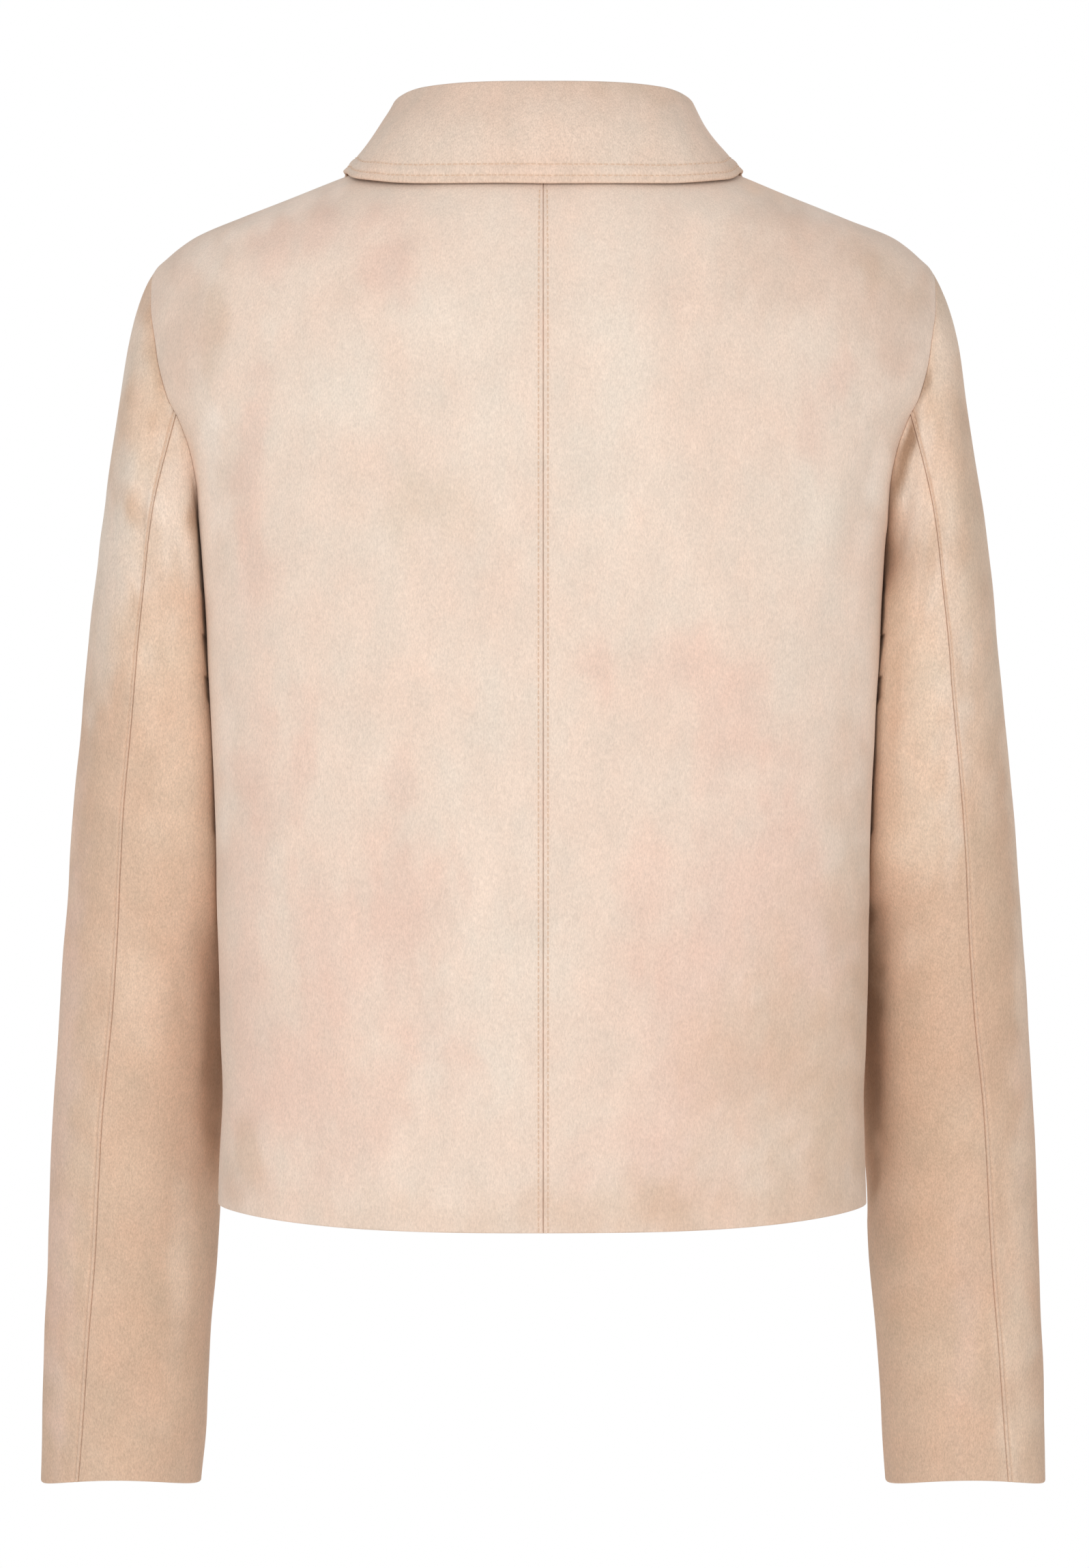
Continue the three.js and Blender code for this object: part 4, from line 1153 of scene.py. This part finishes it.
def place_piece(piece, slot, material, *nodes):
    piece.data.materials.clear()
    piece.data.materials.append(material)
    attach(piece, BODY)
    if nodes:
        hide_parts(*nodes)
    return piece


def cloth(node, grid):
    piece = wall_object(f"{node}_cloth", grid["outer"], grid["inner"], grid["tint"])
    on_body = node.startswith(("back", "front"))
    return place_piece(piece, "suede", smooth_suede if on_body else rough_suede, node)


FRONT_TABLES = (SLEEVE_FRONT_CREASES, SLEEVE_FRONT_PATCHES)
LEFT_TABLES = (SLEEVE_LEFT_CREASES, SLEEVE_LEFT_PATCHES, *FRONT_TABLES)
RIGHT_TABLES = (SLEEVE_RIGHT_CREASES, SLEEVE_RIGHT_PATCHES, *FRONT_TABLES)

back_left = panel(True, 1, 0, BACK_CREASES, BACK_PATCHES, 100)
back_right = panel(True, -1, 0, BACK_CREASES, BACK_PATCHES, 100)
front_left = panel(False, 1, -LAP_STEP, FRONT_CREASES, FRONT_PATCHES, 120)
front_right = panel(False, -1, LAP_STEP, FRONT_CREASES, FRONT_PATCHES, 120)
sleeve_left_top = sleeve_piece(False, 1, LEFT_TABLES, 140)
sleeve_left_under = sleeve_piece(True, 1, LEFT_TABLES, 140)
sleeve_right_top = sleeve_piece(False, -1, RIGHT_TABLES, 160)
sleeve_right_under = sleeve_piece(True, -1, RIGHT_TABLES, 160)
collar_grid = collar(COLLAR_PATCHES, 180)

# Each cloth piece with its cut: greatest width and length in metres, and flat area in square metres
CUTS = (
    ("back_left", back_left, 0.262, 0.560, 0.128, "hung", ()),
    ("back_right", back_right, 0.262, 0.560, 0.128, "hung", ()),
    ("front_left", front_left, 0.262, 0.560, 0.1105, "hung", ()),
    ("front_right", front_right, 0.262, 0.560, 0.1105, "hung", ()),
    ("sleeve_left_top", sleeve_left_top, 0.205, 0.620, 0.097, "hung", ("back_left_cloth",)),
    ("sleeve_left_under", sleeve_left_under, 0.145, 0.560, 0.065, "hung", ("back_left_cloth",)),
    ("sleeve_right_top", sleeve_right_top, 0.205, 0.620, 0.097, "hung", ("back_right_cloth",)),
    ("sleeve_right_under", sleeve_right_under, 0.145, 0.560, 0.065, "hung", ("back_right_cloth",)),
    ("collar", collar_grid, 0.560, 0.105, 0.0466, "folded", ("back_left_cloth", "back_right_cloth")),
)
for node, grid, width, length, area, held, rests_on in CUTS:
    piece = cloth(node, grid)


def sew(name, lines, seed, pitch=STITCH_PITCH, length=STITCH_LENGTH, sunk=0.02):
    place_piece(stitch_mesh(name, lines, pitch, length, THREAD, sunk, seed), "suede", thread)


seam_rows = back_left["row"] < PANEL_ROWS - NECK_ROWS - 0.6
backs = (back_right, back_left)
sew("centre_back_stitches", [line_at(grid, "left", SEAM_STITCH, seam_rows) for grid in backs], 1)

seam_rows = slice(2, -2)
sleeve_tops = (sleeve_left_top, sleeve_right_top)
sew("sleeve_stitches", [line_at(grid, "right", SEAM_STITCH, seam_rows) for grid in sleeve_tops], 2)

edge_rows = front_left["row"] < PANEL_ROWS - NECK_ROWS - 2.3
sew("front_edge_stitches", [line_at(grid, "left", distance, edge_rows)
                            for grid in (front_left, front_right) for distance in EDGE_STITCHES], 3)


def collar_lines(distance):
    """Down one front end of the collar, along the fall's edge and up the other end."""
    lines = []
    inside = collar_grid["ends"][:, -1] > distance
    lines.append(line_at(collar_grid, "fall_edge", distance, inside))
    columns = collar_grid["fall_edge"][0] < 34
    for rows in (slice(0, 60), slice(-60, None)):
        ends = {key: np.swapaxes(collar_grid[key][rows][:, columns], 0, 1) for key in ("outer", "normals")}
        ends["ends"] = collar_grid["ends"][rows][:, columns].T
        away = collar_grid["fall_edge"][0][columns] > distance
        lines.append(line_at(ends, "ends", distance, away))
    return lines


sew("collar_stitches", [line for distance in EDGE_STITCHES for line in collar_lines(distance)], 4)


def buttonhole_lines(z):
    """Short stitches square to a level slit, above and below it."""
    grid_z = front_right["outer"][:, 30, 2]
    row = int(np.argmin(np.abs(grid_z - z)))
    lines = []
    for distance in np.arange(*BUTTONHOLE_REACH, 0.55):
        at, normals = line_at(front_right, "left", distance, slice(row - 3, row + 4))
        for lip in (-1, 1):
            ends = np.sort(z + lip * np.array((0.1, BUTTONHOLE_LIP)))
            line = np.stack([np.interp(ends, at[:, 2], at[:, axis]) for axis in range(3)], -1)
            lines.append((line, normals[[3, 3]]))
    return lines


BUTTON_HEIGHTS = [TOP_BUTTON_Z - i * BUTTON_PITCH for i in range(BUTTON_COUNT)]
holes = [line for z in BUTTON_HEIGHTS for line in buttonhole_lines(z)]
sew("buttonhole_stitches", holes, 5, BUTTONHOLE_LIP * 0.9, BUTTONHOLE_LIP, 0)

button_shape = button_mesh()
for i, z in enumerate(BUTTON_HEIGHTS):
    outwards = form_normal(180, z)
    seat = form_point(180, z) + outwards * (LAP_STEP + BUTTON_SEAT)
    button = bpy.data.objects.new(f"button_{i + 1}_resin", button_shape.copy())
    bpy.context.collection.objects.link(button)
    bars = []
    for x in (-1.5, 1.5):
        line = np.array(((x, -1.6, 2.2), (x, 0, 2.3), (x, 1.6, 2.2)))
        bars += [(line + (shift, 0, 0), np.array(((0, 0, 1.0),) * 3)) for shift in (-0.35, 0.05, 0.4)]
    sewing = stitch_mesh(f"button_{i + 1}_thread", bars, 3.0, 3.4, 0.45, -0.05, 10 + i)
    seated((button, sewing), seat, outwards)
    place_piece(button, "button", resin, f"button_{i + 1}")
    place_piece(sewing, "button", thread)

# Setting

bpy.ops.mesh.primitive_circle_add(vertices=96, radius=3, fill_type="NGON", location=(0, 0, -1.35))
floor = bpy.context.object
floor.name = "floor"
floor.data.materials.append(floor_material())

world = bpy.data.worlds.new("studio")
world.use_nodes = True
tree = world.node_tree
surround = tree.nodes["Background"]
give(tree, surround, {"Color": (1, 0.985, 0.97, 1), "Strength": 0.56})
behind = add(tree, "Background", {"Color": (1, 1, 1, 1), "Strength": 1.0})
seen = add(tree, "LightPath", {}).outputs["Is Camera Ray"]
choice = add(tree, "MixShader", {"Fac": seen, 1: surround.outputs[0], 2: behind.outputs[0]})
give(tree, tree.nodes["World Output"], {"Surface": choice.outputs[0]})
bpy.context.scene.world = world
bpy.context.scene.view_settings.view_transform = "Standard"


def area_light(name, place, size, power):
    light = bpy.data.lights.new(name, "AREA")
    light.shape = "DISK"
    light.size = size
    light.energy = power
    light.color = LIGHT_COLOUR
    lamp = bpy.data.objects.new(name, light)
    lamp.location = place
    lamp.rotation_euler = (Vector(LIGHT_AIM) - Vector(place)).to_track_quat("-Z", "Y").to_euler()
    bpy.context.collection.objects.link(lamp)


LIGHT_AIM = (0, 0, -0.3)
LIGHT_COLOUR = (1, 0.985, 0.965)
LIGHTS = (
    # name, place, size in metres, power in watts
    ("key", (0.6, 2.9, 0.3), 1.8, 34),
    ("fill", (-1.5, 2.3, -0.1), 1.2, 8),
    ("front_key", (-0.6, -2.9, 0.3), 1.8, 34),
    ("front_fill", (1.5, -2.3, -0.1), 1.2, 8),
)
for row in LIGHTS:
    area_light(*row)

camera_data = bpy.data.cameras.new("photo_view")
camera_data.sensor_fit = "VERTICAL"
camera_data.sensor_height = 36
camera_data.lens = 108.2
camera = bpy.data.objects.new("photo_view", camera_data)
camera.location = (-0.0006, 2.4, -0.313)
camera.rotation_euler = (math.radians(90), 0, math.radians(180))
bpy.context.collection.objects.link(camera)
bpy.context.scene.camera = camera
